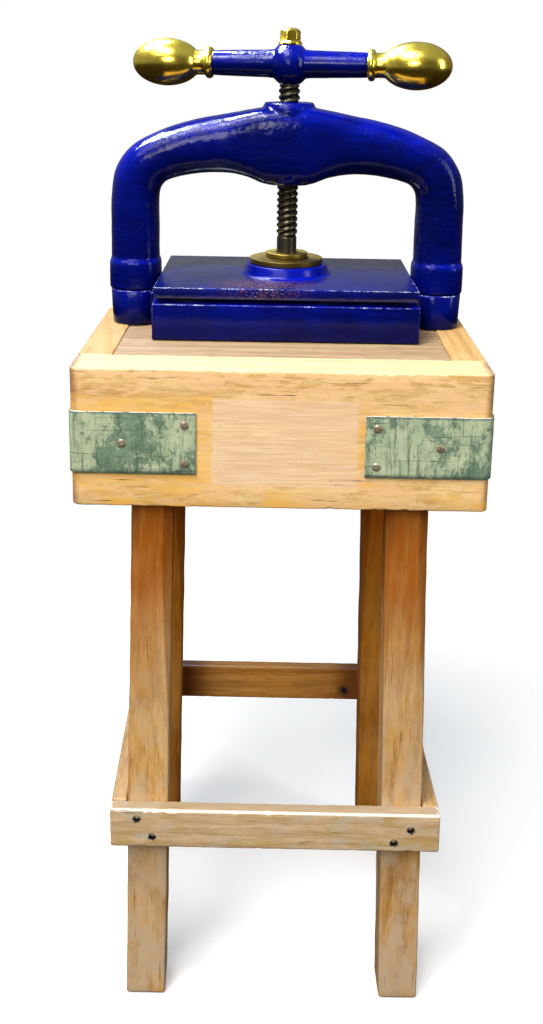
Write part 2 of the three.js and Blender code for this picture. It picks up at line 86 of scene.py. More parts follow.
def loft(rings, closed=True):
    """Vertices and faces of a skin over rings of equal count, with flat caps."""
    n = len(rings[0])
    verts = [p for ring in rings for p in ring]
    faces = []
    for i in range(len(rings) - 1):
        for j in range(n):
            k = (j + 1) % n
            faces.append((i * n + j, i * n + k, (i + 1) * n + k, (i + 1) * n + j))
    if closed:
        faces.append(tuple(range(n))[::-1])
        faces.append(tuple((len(rings) - 1) * n + j for j in range(n)))
    return verts, faces


def circle(r, z, count):
    turns = [2 * math.pi * j / count for j in range(count)]
    return [(r * math.cos(a), r * math.sin(a), z) for a in turns]


def turned(profile, n=96):
    """A skin turned about Z from (radius, height) pairs, with n segments: capped at both ends, or a tube
    where the profile comes back to its start."""
    verts, faces = loft([circle(r, z, n) for r, z in profile], closed=False)
    if profile[0] == profile[-1]:
        return verts, faces
    for ring, (r, z) in ((0, profile[0]), (len(profile) - 1, profile[-1])):
        centre = len(verts)
        verts.append((0, 0, z))
        for j in range(n):
            faces.append((ring * n + j, ring * n + (j + 1) % n, centre))
    return verts, faces


def lathe(name, profile, n=96, at=PRESS):
    return make(name, *turned(profile, n), at)


def rounded(profile, radii, steps=5):
    """The same polyline with its inner corners rounded; radii has one number per point."""
    out = []
    for i, p in enumerate(profile):
        r = radii[i]
        if i in (0, len(profile) - 1) or r <= 0:
            out.append(tuple(p))
            continue
        a, b, c = (Vector((*q, 0)) for q in (profile[i - 1], p, profile[i + 1]))
        u, v = a - b, c - b
        r = min(r, 0.48 * u.length, 0.48 * v.length)
        s, e = b + u.normalized() * r, b + v.normalized() * r
        for k in range(steps + 1):
            t = k / steps
            q = s * (1 - t) ** 2 + b * 2 * t * (1 - t) + e * t * t
            out.append((q.x, q.y))
    return out


def box_mesh(name, lo, hi, at=WORLD):
    verts = [(x, y, z) for z in (lo[2], hi[2]) for y in (lo[1], hi[1]) for x in (lo[0], hi[0])]
    faces = [(0, 2, 3, 1), (4, 5, 7, 6), (0, 1, 5, 4), (2, 6, 7, 3), (0, 4, 6, 2), (1, 3, 7, 5)]
    return make(name, verts, faces, at)


def superellipse(a, b, exponent, count):
    points = []
    for i in range(count):
        c, s = math.cos(2 * math.pi * i / count), math.sin(2 * math.pi * i / count)
        points.append((a * math.copysign(abs(c) ** (2 / exponent), c),
                       b * math.copysign(abs(s) ** (2 / exponent), s)))
    return points


def catmull(points, per):
    """Centripetal Catmull-Rom through points (tuples), per samples in each span."""
    pts = [Vector(p) for p in points]
    pts = [pts[0] * 2 - pts[1]] + pts + [pts[-1] * 2 - pts[-2]]
    out = []
    for i in range(1, len(pts) - 2):
        near = pts[i - 1:i + 3]
        times = [0]
        for a, b in zip(near, near[1:]):
            times.append(times[-1] + max((b - a).length, 1e-6) ** 0.5)
        for k in range(per):
            t = times[1] + (times[2] - times[1]) * k / per
            level = near
            for reach, (start, end) in ((1, (0, 3)), (2, (0, 2)), (1, (1, 2))):
                spans = [(times[n], times[n + reach]) for n in range(start, end)]
                level = [a * ((t1 - t) / (t1 - t0)) + b * ((t - t0) / (t1 - t0))
                         for a, b, (t0, t1) in zip(level, level[1:], spans)]
            out.append(level[0])
    out.append(pts[-2])
    return out


def settle(obj):
    """Applies the object's modifiers to its mesh."""
    bpy.context.view_layer.update()
    graph = bpy.context.evaluated_depsgraph_get()
    mesh = bpy.data.meshes.new_from_object(obj.evaluated_get(graph))
    obj.modifiers.clear()
    obj.data = mesh
    shade(mesh)
    return obj


def fuse(name, parts, voxel, passes, bore=None):
    """One cast skin over overlapping parts: remeshed, smoothed into fillets, then bored."""
    bm = bmesh.new()
    for part in parts:
        bm.from_mesh(part.data)
    mesh = bpy.data.meshes.new(name)
    bm.to_mesh(mesh)
    bm.free()
    for part in parts:
        bpy.data.objects.remove(part)
    obj = link(name, mesh)
    remesh = obj.modifiers.new("skin", "REMESH")
    remesh.mode, remesh.voxel_size = "VOXEL", voxel * MM
    soft = obj.modifiers.new("fillets", "SMOOTH")
    soft.factor, soft.iterations = 0.5, passes
    settle(obj)
    if bore:
        subtract(obj, bore)
    return obj


def subtract(obj, cutter):
    boolean = obj.modifiers.new("cut", "BOOLEAN")
    boolean.operation, boolean.object, boolean.solver = "DIFFERENCE", cutter, "EXACT"
    settle(obj)
    bpy.data.objects.remove(cutter)
    return obj


def roughen(obj, size, depth, seed=0.0):
    """Moves each vertex along its normal by smooth noise: size in mm across, depth in mm."""
    mesh = obj.data
    normals = [v.normal.copy() for v in mesh.vertices]
    for v, n in zip(mesh.vertices, normals):
        p = v.co / (size * MM) + Vector((seed, seed * 1.7, seed * 0.3))
        v.co += n * (noise.noise(p) * depth * MM)
    return obj


def bevel(obj, width, segments=3, angle=35, edge_slot=None):
    m = obj.modifiers.new("edges", "BEVEL")
    m.width, m.segments = width * MM, segments
    m.limit_method, m.angle_limit = "ANGLE", math.radians(angle)
    if edge_slot is not None:
        m.material = edge_slot
    return obj


def piece(obj, body, slot, materials, *nodes):
    """Finishes a piece: hangs it on the body it rides on, gives it its materials and hides the CAD nodes it
    stands for.
    """
    obj.data.materials.clear()
    for m in materials if isinstance(materials, (list, tuple)) else [materials]:
        obj.data.materials.append(m)
    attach(obj, body)
    if nodes:
        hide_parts(*nodes)
    return obj


# ---- material helpers
class Nodes:
    """A small builder for one procedural material, or for the world; color is its base colour so far."""

    def __init__(self, name, world=None):
        self.material = world or bpy.data.materials.new(name)
        self.material.use_nodes = True
        self.tree = self.material.node_tree
        self.shader = self.tree.nodes.get("Principled BSDF")
        self.coords = self.add("TexCoord").outputs["Generated" if world else "Object"]

    def add(self, kind, sockets=(), **settings):
        """A new node with its settings made and its input sockets linked or filled."""
        node = self.tree.nodes.new("ShaderNode" + kind)
        for key, value in settings.items():
            setattr(node, key, value)
        for key, value in dict(sockets).items():
            self.put(node.inputs[key], value)
        return node

    def put(self, socket, value):
        if isinstance(value, bpy.types.NodeSocket):
            self.tree.links.new(value, socket)
        elif isinstance(value, tuple) and len(value) == 3 and socket.type == "RGBA":
            socket.default_value = (*value, 1)
        else:
            socket.default_value = value

    def scaled(self, scale, at=(0, 0, 0)):
        return self.add("Mapping", {"Vector": self.coords, "Scale": scale, "Location": at}).outputs["Vector"]

    def noise(self, scale, detail=4, rough=0.55, distortion=0, at=(0, 0, 0)):
        """Noise of one scale, or one per axis; at picks another part of its pattern."""
        vector = self.coords
        if isinstance(scale, tuple):
            vector, scale = self.scaled(scale, at), 1
        elif any(at):
            vector = self.scaled((1, 1, 1), at)
        return self.add("TexNoise", {"Vector": vector, "Scale": scale, "Detail": detail, "Roughness": rough,
                                     "Distortion": distortion}).outputs["Fac"]

    def length(self, vector):
        return self.add("VectorMath", {0: vector}, operation="LENGTH").outputs["Value"]

    def distance(self, point=(0, 0, 0), weights=(1, 1, 1)):
        """Metres from a point, with each axis weighted."""
        return self.length(self.scaled(weights, tuple(-c * w for c, w in zip(point, weights))))

    def ramp(self, value, low, high, a=0.0, b=1.0):
        """Maps value from low..high to a..b, smoothly and clamped."""
        sockets = {"Value": value, "From Min": low, "From Max": high, "To Min": a, "To Max": b}
        return self.add("MapRange", sockets, interpolation_type="SMOOTHSTEP").outputs["Result"]

    def math(self, operation, *values):
        return self.add("Math", enumerate(values), operation=operation).outputs[0]

    def times(self, first, *others):
        for value in others:
            first = self.math("MULTIPLY", first, value)
        return first

    def mix(self, factor, a, b):
        return self.add("Mix", {"Factor": factor, 6: a, 7: b}, data_type="RGBA").outputs[2]

    def axes(self, source=None):
        return self.add("SeparateXYZ", {0: source or self.coords}).outputs

    def up(self):
        """How far the surface faces up, -1 to 1."""
        return self.axes(self.add("NewGeometry").outputs["Normal"])[2]

    def inside(self, axis, low, high, soft):
        """1 where the coordinate lies between low and high, with soft borders."""
        return self.times(self.ramp(axis, low - soft, low + soft),
                         self.ramp(axis, high - soft, high + soft, 1, 0))

    def bump(self, height, distance, strength=1.0, below=None):
        """Relief of height times distance in mm, over another relief if one is given."""
        sockets = {"Distance": distance * MM, "Strength": strength, "Height": height}
        if below is not None:
            sockets["Normal"] = below
        return self.add("Bump", sockets).outputs["Normal"]

    def blots(self, low, high, *scale, **kind):
        """Patches with soft borders, where a noise passes from low to high."""
        return self.ramp(self.noise(*scale, **kind), low, high)

    def coat(self, paint, mask, amount=None):
        """Lays paint over the colour so far, where mask, times amount if given, is above 0."""
        self.color = self.mix(mask if amount is None else self.times(mask, amount), self.color, paint)

    def stain(self, paint, amount, *blots, **kind):
        self.coat(paint, self.blots(*blots, **kind), amount)

    def choose(self, factor, a, b, output):
        """Sends shader a or b to the output node, or a blend, as factor goes from 0 to 1."""
        blend = self.add("MixShader", {0: factor, 1: a, 2: b})
        self.put(self.tree.nodes[output].inputs["Surface"], blend.outputs[0])

    def finish(self, **sockets):
        for key, value in {"Base_Color": self.color, **sockets}.items():
            self.put(self.shader.inputs[key.replace("_", " ")], value)
        return self.material


def blue_paint(name, edge=False, extra=None, specular=0.15):
    """Thick royal-blue gloss brushed over rough casting, with small chips and painted shade on faces that
    stand upright or face down; edge adds a worn-through rim, kept to edges that face up, where it also paints
    a highlight.
    """
    m = Nodes(name)
    deep, royal, bright = (0.0004, 0.0025, 0.13), (0.0006, 0.005, 0.32), (0.001, 0.014, 0.6)
    soot, painted_shade = (0.001, 0.003, 0.035), (0.0004, 0.0018, 0.016)
    m.color = m.mix(m.blots(0.3, 0.7, 9, 3, 0.6), deep, royal)
    m.stain(bright, 0.35, 0.48, 0.75, (34, 34, 300), 3, 0.6)  # strokes
    m.stain(soot, 0.5, 0.5, 0.7, 26, 7, 0.72)  # mottle
    # painted shade: the blue is darkened on faces that stand upright, and nearly to black on faces that face
    # down
    upright = m.ramp(m.up(), 0.75, -0.2, 0, 0.8)
    under = m.ramp(m.up(), 0.0, -0.6, 0, 0.9)
    m.coat(painted_shade, m.math("MAXIMUM", upright, under))
    m.stain((0.01, 0.03, 0.2), 0.3, 0.64, 0.7, (60, 60, 150), 6, 0.75, distortion=0.8)  # scuffs
    if extra:
        extra(m)
    chip = m.blots(0.72, 0.735, 190, 5, 0.74, distortion=0.6)
    bare = m.mix(m.blots(0.4, 0.6, 60, 2), (0.03, 0.025, 0.04), (0.42, 0.46, 0.58))
    # edge: pale worn-through paint on the edges, kept to edges that face up, which also paints the highlight
    # along them
    if edge:
        worn = m.blots(0.47, 0.58, 170, 6, 0.8)
        thin = m.ramp(m.noise(34, 3, 0.6, at=(4, 4, 1)), 0.4, 0.6, 0.1, 1)
        lit = m.ramp(m.up(), -0.1, 0.45)
        chip = m.math("MAXIMUM", chip, m.times(worn, thin, lit))
        bare = m.mix(m.noise(500, 2), (0.3, 0.34, 0.45), (0.7, 0.74, 0.78))
    m.coat(bare, chip)
    rough = m.ramp(m.noise(60, 4, 0.6), 0.3, 0.7, 0.07, 0.17)
    rough = m.math("MAXIMUM", rough, m.times(chip, 0.6))
    broad = m.bump(m.noise(38, 4, 0.6), 0.9, 0.45)
    casting = m.bump(m.noise(150, 4, 0.62), 0.5, 0.55, broad)
    patchy = m.ramp(m.noise(17, 3, 0.6, at=(2, 9, 4)), 0.4, 0.6, 0.25, 1)
    coarse = m.times(patchy, m.ramp(m.up(), 0.0, 0.5, 0.2, 1))
    peel = m.bump(m.times(m.noise(430, 2, 0.6), coarse), 0.6, 1.0, casting)
    pits = m.bump(m.math("SUBTRACT", 1.0, chip), 0.25, 0.8, peel)
    return m.finish(Specular_IOR_Level=specular, Roughness=rough, Normal=pits)


def platen_marks(m):
    """Painted shade darkening the platen's upward faces, and rust and pale specks rubbed through the paint on
    its top, in front of its boss.
    """
    middle = (AXIS_X - 0.03, AXIS_Y - 0.088, BLOCK_TOP + 0.068)
    # painted shade: the blue is darkened on faces that face up
    top = m.ramp(m.up(), 0.8, 0.95, 0, 0.5)
    m.coat((0.004, 0.01, 0.05), top)
    place = m.ramp(m.distance(middle, (0.55, 1, 1)), 0.052, 0.012)
    rust = m.times(m.blots(0.42, 0.6, 75, 6, 0.75), place)
    m.coat((0.1, 0.022, 0.012), rust, 0.85)
    speck = m.times(m.blots(0.57, 0.63, 420, 3, 0.7, at=(1, 2, 3)), place)
    m.coat((0.5, 0.34, 0.25), speck, 0.75)


def brass(name, dull=0.0):
    """Turned and polished brass: fine turning marks and smears, and painted shade, browner where the surface
    faces down; dull adds bronze, with painted shade that keeps its sides darker than its tops.
    """
    m = Nodes(name)
    tarnish = m.blots(0.45, 0.72, 28, 5, 0.65, distortion=0.4)
    m.color = m.mix(m.times(tarnish, 0.6), (0.98, 0.75, 0.1), (0.6, 0.38, 0.025))
    # painted shade: browner where the surface faces down
    under = m.ramp(m.up(), -0.1, -0.85)
    m.coat((0.3, 0.15, 0.012), under, 0.6)
    m.stain((0.2, 0.11, 0.02), 0.55, 0.64, 0.74, 330, 3, 0.6)  # spots
    if dull:
        stain = m.blots(0.3, 0.65, 45, 4, 0.6, at=(3, 1, 2))
        # painted shade: the bronze is darker on its sides than on faces that face up
        worn = m.mix(m.ramp(m.up(), 0.2, 0.9), (0.09, 0.055, 0.016), (0.125, 0.085, 0.028))
        m.coat(m.mix(m.times(stain, 0.8), worn, (0.09, 0.05, 0.014)), dull)
    smears = m.noise(50, 5, 0.7, at=(1, 0, 5))
    rough = m.math("MULTIPLY_ADD", smears, 0.24 + 0.25 * dull, 0.08 + 0.16 * dull)
    dents = m.bump(m.noise(42, 3, 0.5), 0.45, 0.3)
    marks = m.bump(m.noise((900, 60, 60), 2, 0.5), 0.04, 0.35, dents)
    return m.finish(Metallic=1.0, Roughness=rough, Normal=marks)


def thread_steel():
    """Oiled screw steel: bright worn crests, brown grease in the roots."""
    m = Nodes("thread_steel")
    crest = m.ramp(m.distance((AXIS_X, AXIS_Y, 0), (1, 1, 0)), 0.0122, 0.0140)
    patina = m.noise(60, 5, 0.7)
    metal = m.mix(m.ramp(patina, 0.35, 0.7), (0.11, 0.1, 0.065), (0.03, 0.027, 0.016))
    grease = m.mix(patina, (0.01, 0.008, 0.005), (0.035, 0.025, 0.014))
    m.color = m.mix(crest, grease, metal)
    rough = m.ramp(patina, 0.3, 0.7, 0.25, 0.5)
    marks = m.bump(m.noise(520, 4, 0.7), 0.12, 0.5)
    return m.finish(Metallic=0.9, Roughness=rough, Normal=marks)


def pine(name, light, dark, along="x", rings=60.0, wear=0.5, extra=None, rough=(0.38, 0.6), shift=0.0,
         painted_top_light=0.0):
    """Softwood: growth lines, fibre, short dark dashes, scuffs and stains, with painted light as a paler tone
    on faces that face up; along is the grain's axis.
    """
    m = Nodes(name)
    o = (shift * 3.1, shift * 1.3, shift * 2.3)

    def grained(across, stretch=26):
        return tuple(across / stretch if axis == along else across for axis in "xyz")
    sway = m.noise(grained(11), 3, 0.5, at=o)
    # flat-sawn growth lines: distance from a pith line outside the board, bent by a slow noise
    pith = m.scaled(tuple(0.05 if axis == along else 1 for axis in "xyz"), (0.06 + shift, 0.33, -0.5 - shift))
    grow = m.math("ADD", m.times(m.length(pith), rings),
                  m.times(m.noise(grained(16), 3, 0.5, at=o), 2.2))
    grow = m.math("ADD", grow, m.times(m.noise(5, 2, 0.5, at=o), 1.6))
    latewood = m.ramp(m.math("FRACT", grow), 0.35, 0.92)
    latewood = m.times(latewood, m.ramp(m.math("FRACT", grow), 0.93, 1.0, 1.0, 0.0))
    fibre = m.noise(grained(520), 4, 0.65, at=o)
    streak = m.noise(grained(95), 5, 0.6, at=o)
    half = tuple(0.6 * l + 0.4 * d for l, d in zip(light, dark))
    m.color = m.mix(m.ramp(sway, 0.35, 0.7), light, half)
    m.coat(dark, latewood, 0.4)
    m.coat(dark, m.ramp(streak, 0.5, 0.68), 0.62)
    m.coat(tuple(c * 0.6 for c in dark), m.ramp(fibre, 0.52, 0.7), 0.5)
    m.stain(dark, 0.48 * wear, 0.46, 0.62, grained(150, 5), 7, 0.8, at=(3, 6, 1))  # mottle
    pale = tuple(min(1, c * 1.25) for c in light)
    m.stain(pale, 0.35 * wear, 0.5, 0.66, grained(110, 7), 6, 0.75, at=(8, 1, 6))  # rubbed
    m.stain((0.3, 0.16, 0.055), 0.45 * wear, 0.5, 0.7, grained(60), 7, 0.72)  # dirt
    # painted light: a paler tone on faces that face up
    if painted_top_light:
        m.coat((0.93, 0.78, 0.5), m.ramp(m.up(), 0.3, 0.85), painted_top_light)
    if extra:
        extra(m)
    dashes = m.blots(0.635, 0.67, grained(230), 3, 0.7, at=(5, 2, 7))
    dashes = m.times(dashes, m.blots(0.42, 0.6, 17, 4, 0.6, at=(1, 8, 3)))
    m.coat((0.07, 0.035, 0.012), dashes, 0.8 * wear)
    m.stain((0.08, 0.045, 0.02), 0.6 * wear, 0.655, 0.7, 300, 4, 0.75, at=(2, 0, 4))  # specks
    relief = m.math("ADD", m.times(latewood, 0.6), m.times(fibre, 0.9))
    relief = m.math("SUBTRACT", relief, m.times(dashes, 1.3))
    return m.finish(Specular_IOR_Level=0.12, Roughness=m.ramp(sway, 0.3, 0.7, *rough),
                    Normal=m.bump(relief, 0.35, 0.6))


def front_board_marks(m):
    """Old varnish on the front board: orange where it survives, a pale rectangle where a plate was."""
    x, y, z = m.axes()
    wobble = m.times(m.math("SUBTRACT", m.noise(30, 4, 0.6), 0.5), 0.012)
    xw, zw = m.math("ADD", x, wobble), m.math("ADD", z, wobble)
    face = m.ramp(y, FRONT_Y + 0.012, FRONT_Y + 0.004)
    # fine scuffed lines under the top edge, and darker ends
    lines = m.blots(0.48, 0.62, (16, 420, 420), 4, 0.7)
    band = m.times(m.inside(zw, BLOCK_TOP - 0.04, BLOCK_TOP - 0.004, 0.006), lines)
    m.coat((0.38, 0.2, 0.06), band, m.times(face, 0.4))
    # thin flakes of an old pale coat left on the wood
    flakes = m.blots(0.47, 0.53, (22, 70, 70), 8, 0.72, distortion=0.5, at=(6, 2, 3))
    m.coat((0.88, 0.55, 0.29), m.times(flakes, face), 0.62)
    ends = m.ramp(m.math("ABSOLUTE", xw), HALF_W - 0.012, HALF_W - 0.001)
    m.coat((0.2, 0.08, 0.025), ends, 0.75)
    # surviving orange varnish round the straps and along the bottom
    near = m.times(m.inside(xw, -0.3, -0.083, 0.002), m.inside(zw, 0.735, 0.842, 0.003))
    low = m.inside(zw, 0.69, 0.738, 0.014)
    right = m.times(m.inside(xw, 0.09, 0.3, 0.004), m.inside(zw, 0.72, 0.832, 0.012))
    patchy = m.blots(0.44, 0.62, (13, 40, 40), 6, 0.7)
    varnish = m.math("MAXIMUM", near, m.times(m.math("MAXIMUM", low, right), patchy))
    uneven = m.ramp(m.noise((14, 60, 60), 5, 0.65), 0.35, 0.62, 0.2, 0.9)
    varnish = m.times(varnish, face, uneven)
    amber = m.mix(m.noise((20, 300, 300), 3), (0.78, 0.38, 0.06), (0.95, 0.55, 0.13))
    m.coat(amber, varnish)
    # the pale patch
    patch = m.times(m.inside(x, -0.081, 0.091, 0.0012), m.inside(z, 0.731, 0.839, 0.0012))
    faded = m.ramp(m.noise((10, 90, 90), 4), 0.3, 0.6, 0.55, 0.85)
    patch = m.times(patch, face, faded)
    hairs = m.blots(0.36, 0.62, (16, 420, 420), 5, 0.7, at=(4, 4, 4))
    m.coat(m.mix(hairs, (0.88, 0.63, 0.41), (0.74, 0.48, 0.28)), patch)


def leg_fade(varnish, strength, pale_wood, bareness):
    """Legs keep their varnish under the block and are greyer and stained towards the floor."""
    def fade(m):
        drift = m.math("ADD", m.axes()[2], m.times(m.noise(14, 4, 0.6), 0.16))
        coat = m.ramp(m.noise((60, 60, 6), 5, 0.7, at=(2, 7, 4)), 0.3, 0.62, 0.7, 1)
        coat = m.times(coat, m.ramp(drift, 0.5, 0.74, 0.0, strength))
        m.coat(varnish, coat)
        pale = m.blots(0.36, 0.6, (30, 30, 12), 6, 0.7, at=(6, 1, 3))
        pale = m.times(pale, m.ramp(drift, 0.72, 0.3, 0.0, bareness))
        m.coat(pale_wood, pale)
    return fade


def rail_marks(spots, worn, knot=None):
    """Dark screw holes; worn adds stains, a painted highlight along the rounded top edge and a darker
    grey-beige flat top, knot a knot and dark ends. Points in metres.
    """
    def marks(m):
        if worn:
            m.stain((0.47, 0.3, 0.075), 0.5, 0.47, 0.6, (22, 22, 60), 5, 0.65, at=(1, 5, 2))  # stain
            m.stain((0.5, 0.45, 0.34), 0.6, 0.5, 0.64, (30, 30, 50), 5, 0.65, at=(7, 2, 5))  # grey
            # painted highlight: a pale band on the rounded top edge, between the front and the flat top
            bright = m.inside(m.up(), 0.2, 0.92, 0.08)
            m.coat((0.96, 0.88, 0.74), bright, 0.8)
            m.coat((0.33, 0.25, 0.17), m.ramp(m.up(), 0.93, 0.99, 0, 0.6))
        if knot:
            ends = m.ramp(m.math("ABSOLUTE", m.math("ADD", m.axes()[0], 0.008)), 0.085, 0.13)
            m.coat((0.12, 0.022, 0.004), ends, 0.8)
            reach = m.math("ADD", m.distance(knot, (1, 0, 1)), m.times(m.noise(90, 4), 0.008))
            m.coat((0.12, 0.05, 0.02), m.ramp(reach, 0.019, 0.011, 0, 0.75))
            m.coat((0.012, 0.01, 0.014), m.ramp(reach, 0.011, 0.0075))
        for spot in spots:
            reach = m.math("ADD", m.distance(spot), m.times(m.noise(300, 3), 0.004))
            m.coat((0.015, 0.01, 0.006), m.ramp(reach, 0.0095, 0.0068))
    return marks


def sage_paint():
    """Sage-green paint on thin metal: a pale coat over a darker one, with runs, crumbs and scored lines."""
    m = Nodes("sage_paint")
    broad = m.noise((20, 20, 11), 3, 0.5)
    ragged = m.noise((110, 110, 70), 9, 0.78, distortion=0.35)
    level = m.math("ADD", m.times(broad, 0.42), m.times(ragged, 0.58))
    pale = m.ramp(level, 0.455, 0.515)
    tone = m.blots(0.34, 0.66, 46, 6, 0.7, at=(5, 5, 0))
    under = m.mix(tone, (0.1, 0.17, 0.105), (0.2, 0.29, 0.185))
    over = m.mix(tone, (0.34, 0.42, 0.255), (0.5, 0.55, 0.35))
    m.color = m.mix(pale, under, over)
    m.stain((0.07, 0.125, 0.075), 0.7, 0.52, 0.63, (140, 140, 13), 6, 0.72, at=(1, 4, 2))  # runs
    m.stain((0.5, 0.6, 0.47), 0.5, 0.6, 0.66, 380, 4, 0.7, at=(7, 1, 3))  # light
    crumbs = m.blots(0.57, 0.62, 400, 5, 0.75, at=(3, 3, 3))
    crumbs = m.times(crumbs, m.blots(0.42, 0.56, 34, 5, 0.65, at=(0, 3, 9)))
    m.coat((0.05, 0.07, 0.045), crumbs, 0.8)
    scratch = m.blots(0.66, 0.68, (14, 14, 380), 2, 0.5, at=(0, 0, 4))
    scratch = m.math("MAXIMUM", scratch, m.blots(0.67, 0.69, (330, 330, 9), 2, 0.5, at=(2, 2, 4)))
    m.coat((0.06, 0.1, 0.07), scratch, 0.6)
    z = m.axes()[2]
    rim = m.math("MAXIMUM", m.ramp(z, BLOCK_TOP - 0.0575, BLOCK_TOP - 0.0525),
                 m.ramp(z, BLOCK_TOP - 0.1225, BLOCK_TOP - 0.1285))
    m.coat((0.05, 0.085, 0.07), rim, m.ramp(m.noise(90, 5, 0.7), 0.3, 0.55, 0.25, 0.9))
    height = m.math("SUBTRACT", m.times(pale, 0.5), m.times(crumbs, 0.9))
    height = m.math("SUBTRACT", height, m.times(scratch, 0.8))
    return m.finish(Roughness=m.ramp(ragged, 0.3, 0.7, 0.36, 0.62),
                    Normal=m.bump(height, 0.25, 0.9))


def strap_edge():
    """The strap's thin rim, rubbed to pale metal in patches only where it faces up, which also paints the
    highlight along its top edge.
    """
    m = Nodes("strap_edge")
    worn = m.blots(0.34, 0.5, 150, 4, 0.7)
    # painted highlight: the pale patches show only where the rim faces up
    lit = m.ramp(m.up(), -0.2, 0.5)
    m.color = m.mix(m.times(worn, lit), (0.1, 0.15, 0.12), (0.72, 0.71, 0.62))
    return m.finish(Roughness=m.ramp(worn, 0, 1, 0.6, 0.35),
                    Normal=m.bump(worn, 0.1, 0.5))


def rusty_steel(name, steel, tint, metallic):
    m = Nodes(name)
    rust = m.blots(0.42, 0.64, 260, 5, 0.7)
    m.color = m.mix(rust, steel, tint)
    m.coat((0.05, 0.03, 0.02), m.blots(0.6, 0.7, 700, 2))
    return m.finish(Metallic=metallic, Roughness=m.ramp(rust, 0, 1, 0.35, 0.7),
                    Normal=m.bump(rust, 0.15, 0.6))


CREAM, TAN = (0.97, 0.68, 0.31), (0.52, 0.26, 0.065)
BLUE = blue_paint("blue_paint")
BLUE_EDGE = blue_paint("blue_paint_edge", edge=True)
BLUE_PLATEN = blue_paint("blue_paint_platen", extra=platen_marks, specular=0.55)
BRASS = brass("brass")
BRONZE = brass("bronze", dull=0.97)
DULL_BRASS = brass("dull_brass", dull=0.86)
STEEL = thread_steel()
SAGE = sage_paint()
SAGE_EDGE = strap_edge()
STRAP_SCREW = rusty_steel("strap_screw", (0.5, 0.42, 0.3), (0.2, 0.11, 0.06), 0.6)
DARK_STEEL = rusty_steel("sunk_screw", (0.06, 0.045, 0.035), (0.03, 0.018, 0.012), 0.5)
FRONT_PINE = pine("pine_front", CREAM, TAN, "x", 62, 1.0, front_board_marks, shift=0.2, painted_top_light=0.4)
REAR_PINE = pine("pine_rear", CREAM, TAN, "x", 60, 0.8, shift=0.5, painted_top_light=0.4)
SIDE_PINE = pine("pine_side", (0.72, 0.48, 0.21), TAN, "y", 60, 0.8, shift=0.3)
CORE_PINE = [pine(f"pine_core_{i}", light, (0.26, 0.14, 0.065), "x", 70, 0.9, shift=0.15 * i,
                  rough=(0.55, 0.8))
             for i, light in enumerate([(0.53, 0.37, 0.21), (0.49, 0.34, 0.2), (0.53, 0.37, 0.21)])]
FRONT_LEG = ((0.7, 0.4, 0.13), (0.3, 0.115, 0.02),
             leg_fade((0.31, 0.075, 0.002), 0.95, (0.57, 0.42, 0.27), 0.85))
REAR_LEG = ((0.55, 0.2, 0.01), (0.24, 0.065, 0.003),
            leg_fade((0.5, 0.1, 0.0005), 0.9, (0.55, 0.3, 0.09), 0.3))
LEG_PINE = [pine(f"pine_leg_{i}", light, dark, "z", 74, 0.8, fade, shift=0.21 * i)
            for i, (light, dark, fade) in enumerate((FRONT_LEG, FRONT_LEG, REAR_LEG, REAR_LEG))]
SIDE_RAIL = ((0.62, 0.42, 0.22), (0.34, 0.17, 0.05))
RAILS = {"rail_front": (0, -1, (0.72, 0.52, 0.32), (0.42, 0.25, 0.1)),
         "rail_rear": (0, 1, (0.68, 0.32, 0.07), (0.34, 0.12, 0.02)),
         "rail_left": (-1, 0, *SIDE_RAIL), "rail_right": (1, 0, *SIDE_RAIL)}  # outward normal, tones


# ---- press
COLUMN_X = 206.5
ARCH = [(239.2, 46.6, 173.8, 46.6, 36), (238.5, 130, 174, 130, 36), (237.5, 172, 174, 168, 36),
        (231, 208, 171.5, 182, 36), (211, 237, 163.5, 191.5, 36), (174, 257.5, 146, 197.5, 35.5),
        (128, 273, 116, 203, 35), (80, 282.5, 78, 203.5, 35.5), (54, 287.5, 53, 199, 37.5),
        (30, 291.5, 30, 190.8, 40)]
ARCH_MIDDLE = (0, 293, 0, 190.2, 40.5)
# superellipse exponents: the arch's section along its arms and by the boss, and its feet
ROUND, BOXY, FOOT = 2.5, 4.0, 2.6
BOSS = [(29, 189.5), (34.5, 194), (36.5, 200), (36.5, 286), (35.5, 290.5), (32.6, 297.2), (31.5, 298)]


def foot_stack(name, x, sections):
    """A foot of the casting at x, from (half width, half depth, height) sections."""
    rings = [[(x + u, v, z) for u, v in superellipse(rx, ry, FOOT, 72)] for rx, ry, z in sections]
    return make(name, *loft(rings), PRESS)


def arch():
    stations = [(-a, b, -c, d, e) for a, b, c, d, e in ARCH] + [ARCH_MIDDLE] + ARCH[::-1]
    outer = catmull([(a, b, e) for a, b, _, _, e in stations], 8)
    inner = catmull([(c, d, 0) for _, _, c, d, _ in stations], 8)
    rings = []
    for o, n in zip(outer, inner):
        mx, mz = (o.x + n.x) / 2, (o.y + n.y) / 2
        ax, az = (o.x - n.x) / 2, (o.y - n.y) / 2
        boxy = min(1, max(0, (95 - abs(mx)) / 65))
        exponent = ROUND + (BOXY - ROUND) * boxy * boxy * (3 - 2 * boxy)
        rings.append([(mx + ax * u, -v, mz + az * u) for u, v in superellipse(1, o.z, exponent, 64)])
    parts = [make("sweep", *loft(rings), PRESS)]
    boss = [(0.001, BOSS[0][1])] + BOSS + [(0.001, 298)]
    parts.append(lathe("boss", boss))
    for side in (-1, 1):
        parts.append(foot_stack("collar", side * COLUMN_X,
                                [(34.9, 38.8, 46.6), (34.9, 38.8, 82), (33.9, 37.8, 85), (32.3, 36.2, 87)]))
    bore = lathe("bore", [(14.5, 180), (14.5, 305)], 64)
    obj = fuse("arch_casting", parts, 1.7, 7, bore)
    roughen(obj, 26, 0.4, 3.1)
    roughen(obj, 6, 0.16, 8.3)
    return piece(obj, "stand", "blue_paint", BLUE, "arch_frame")


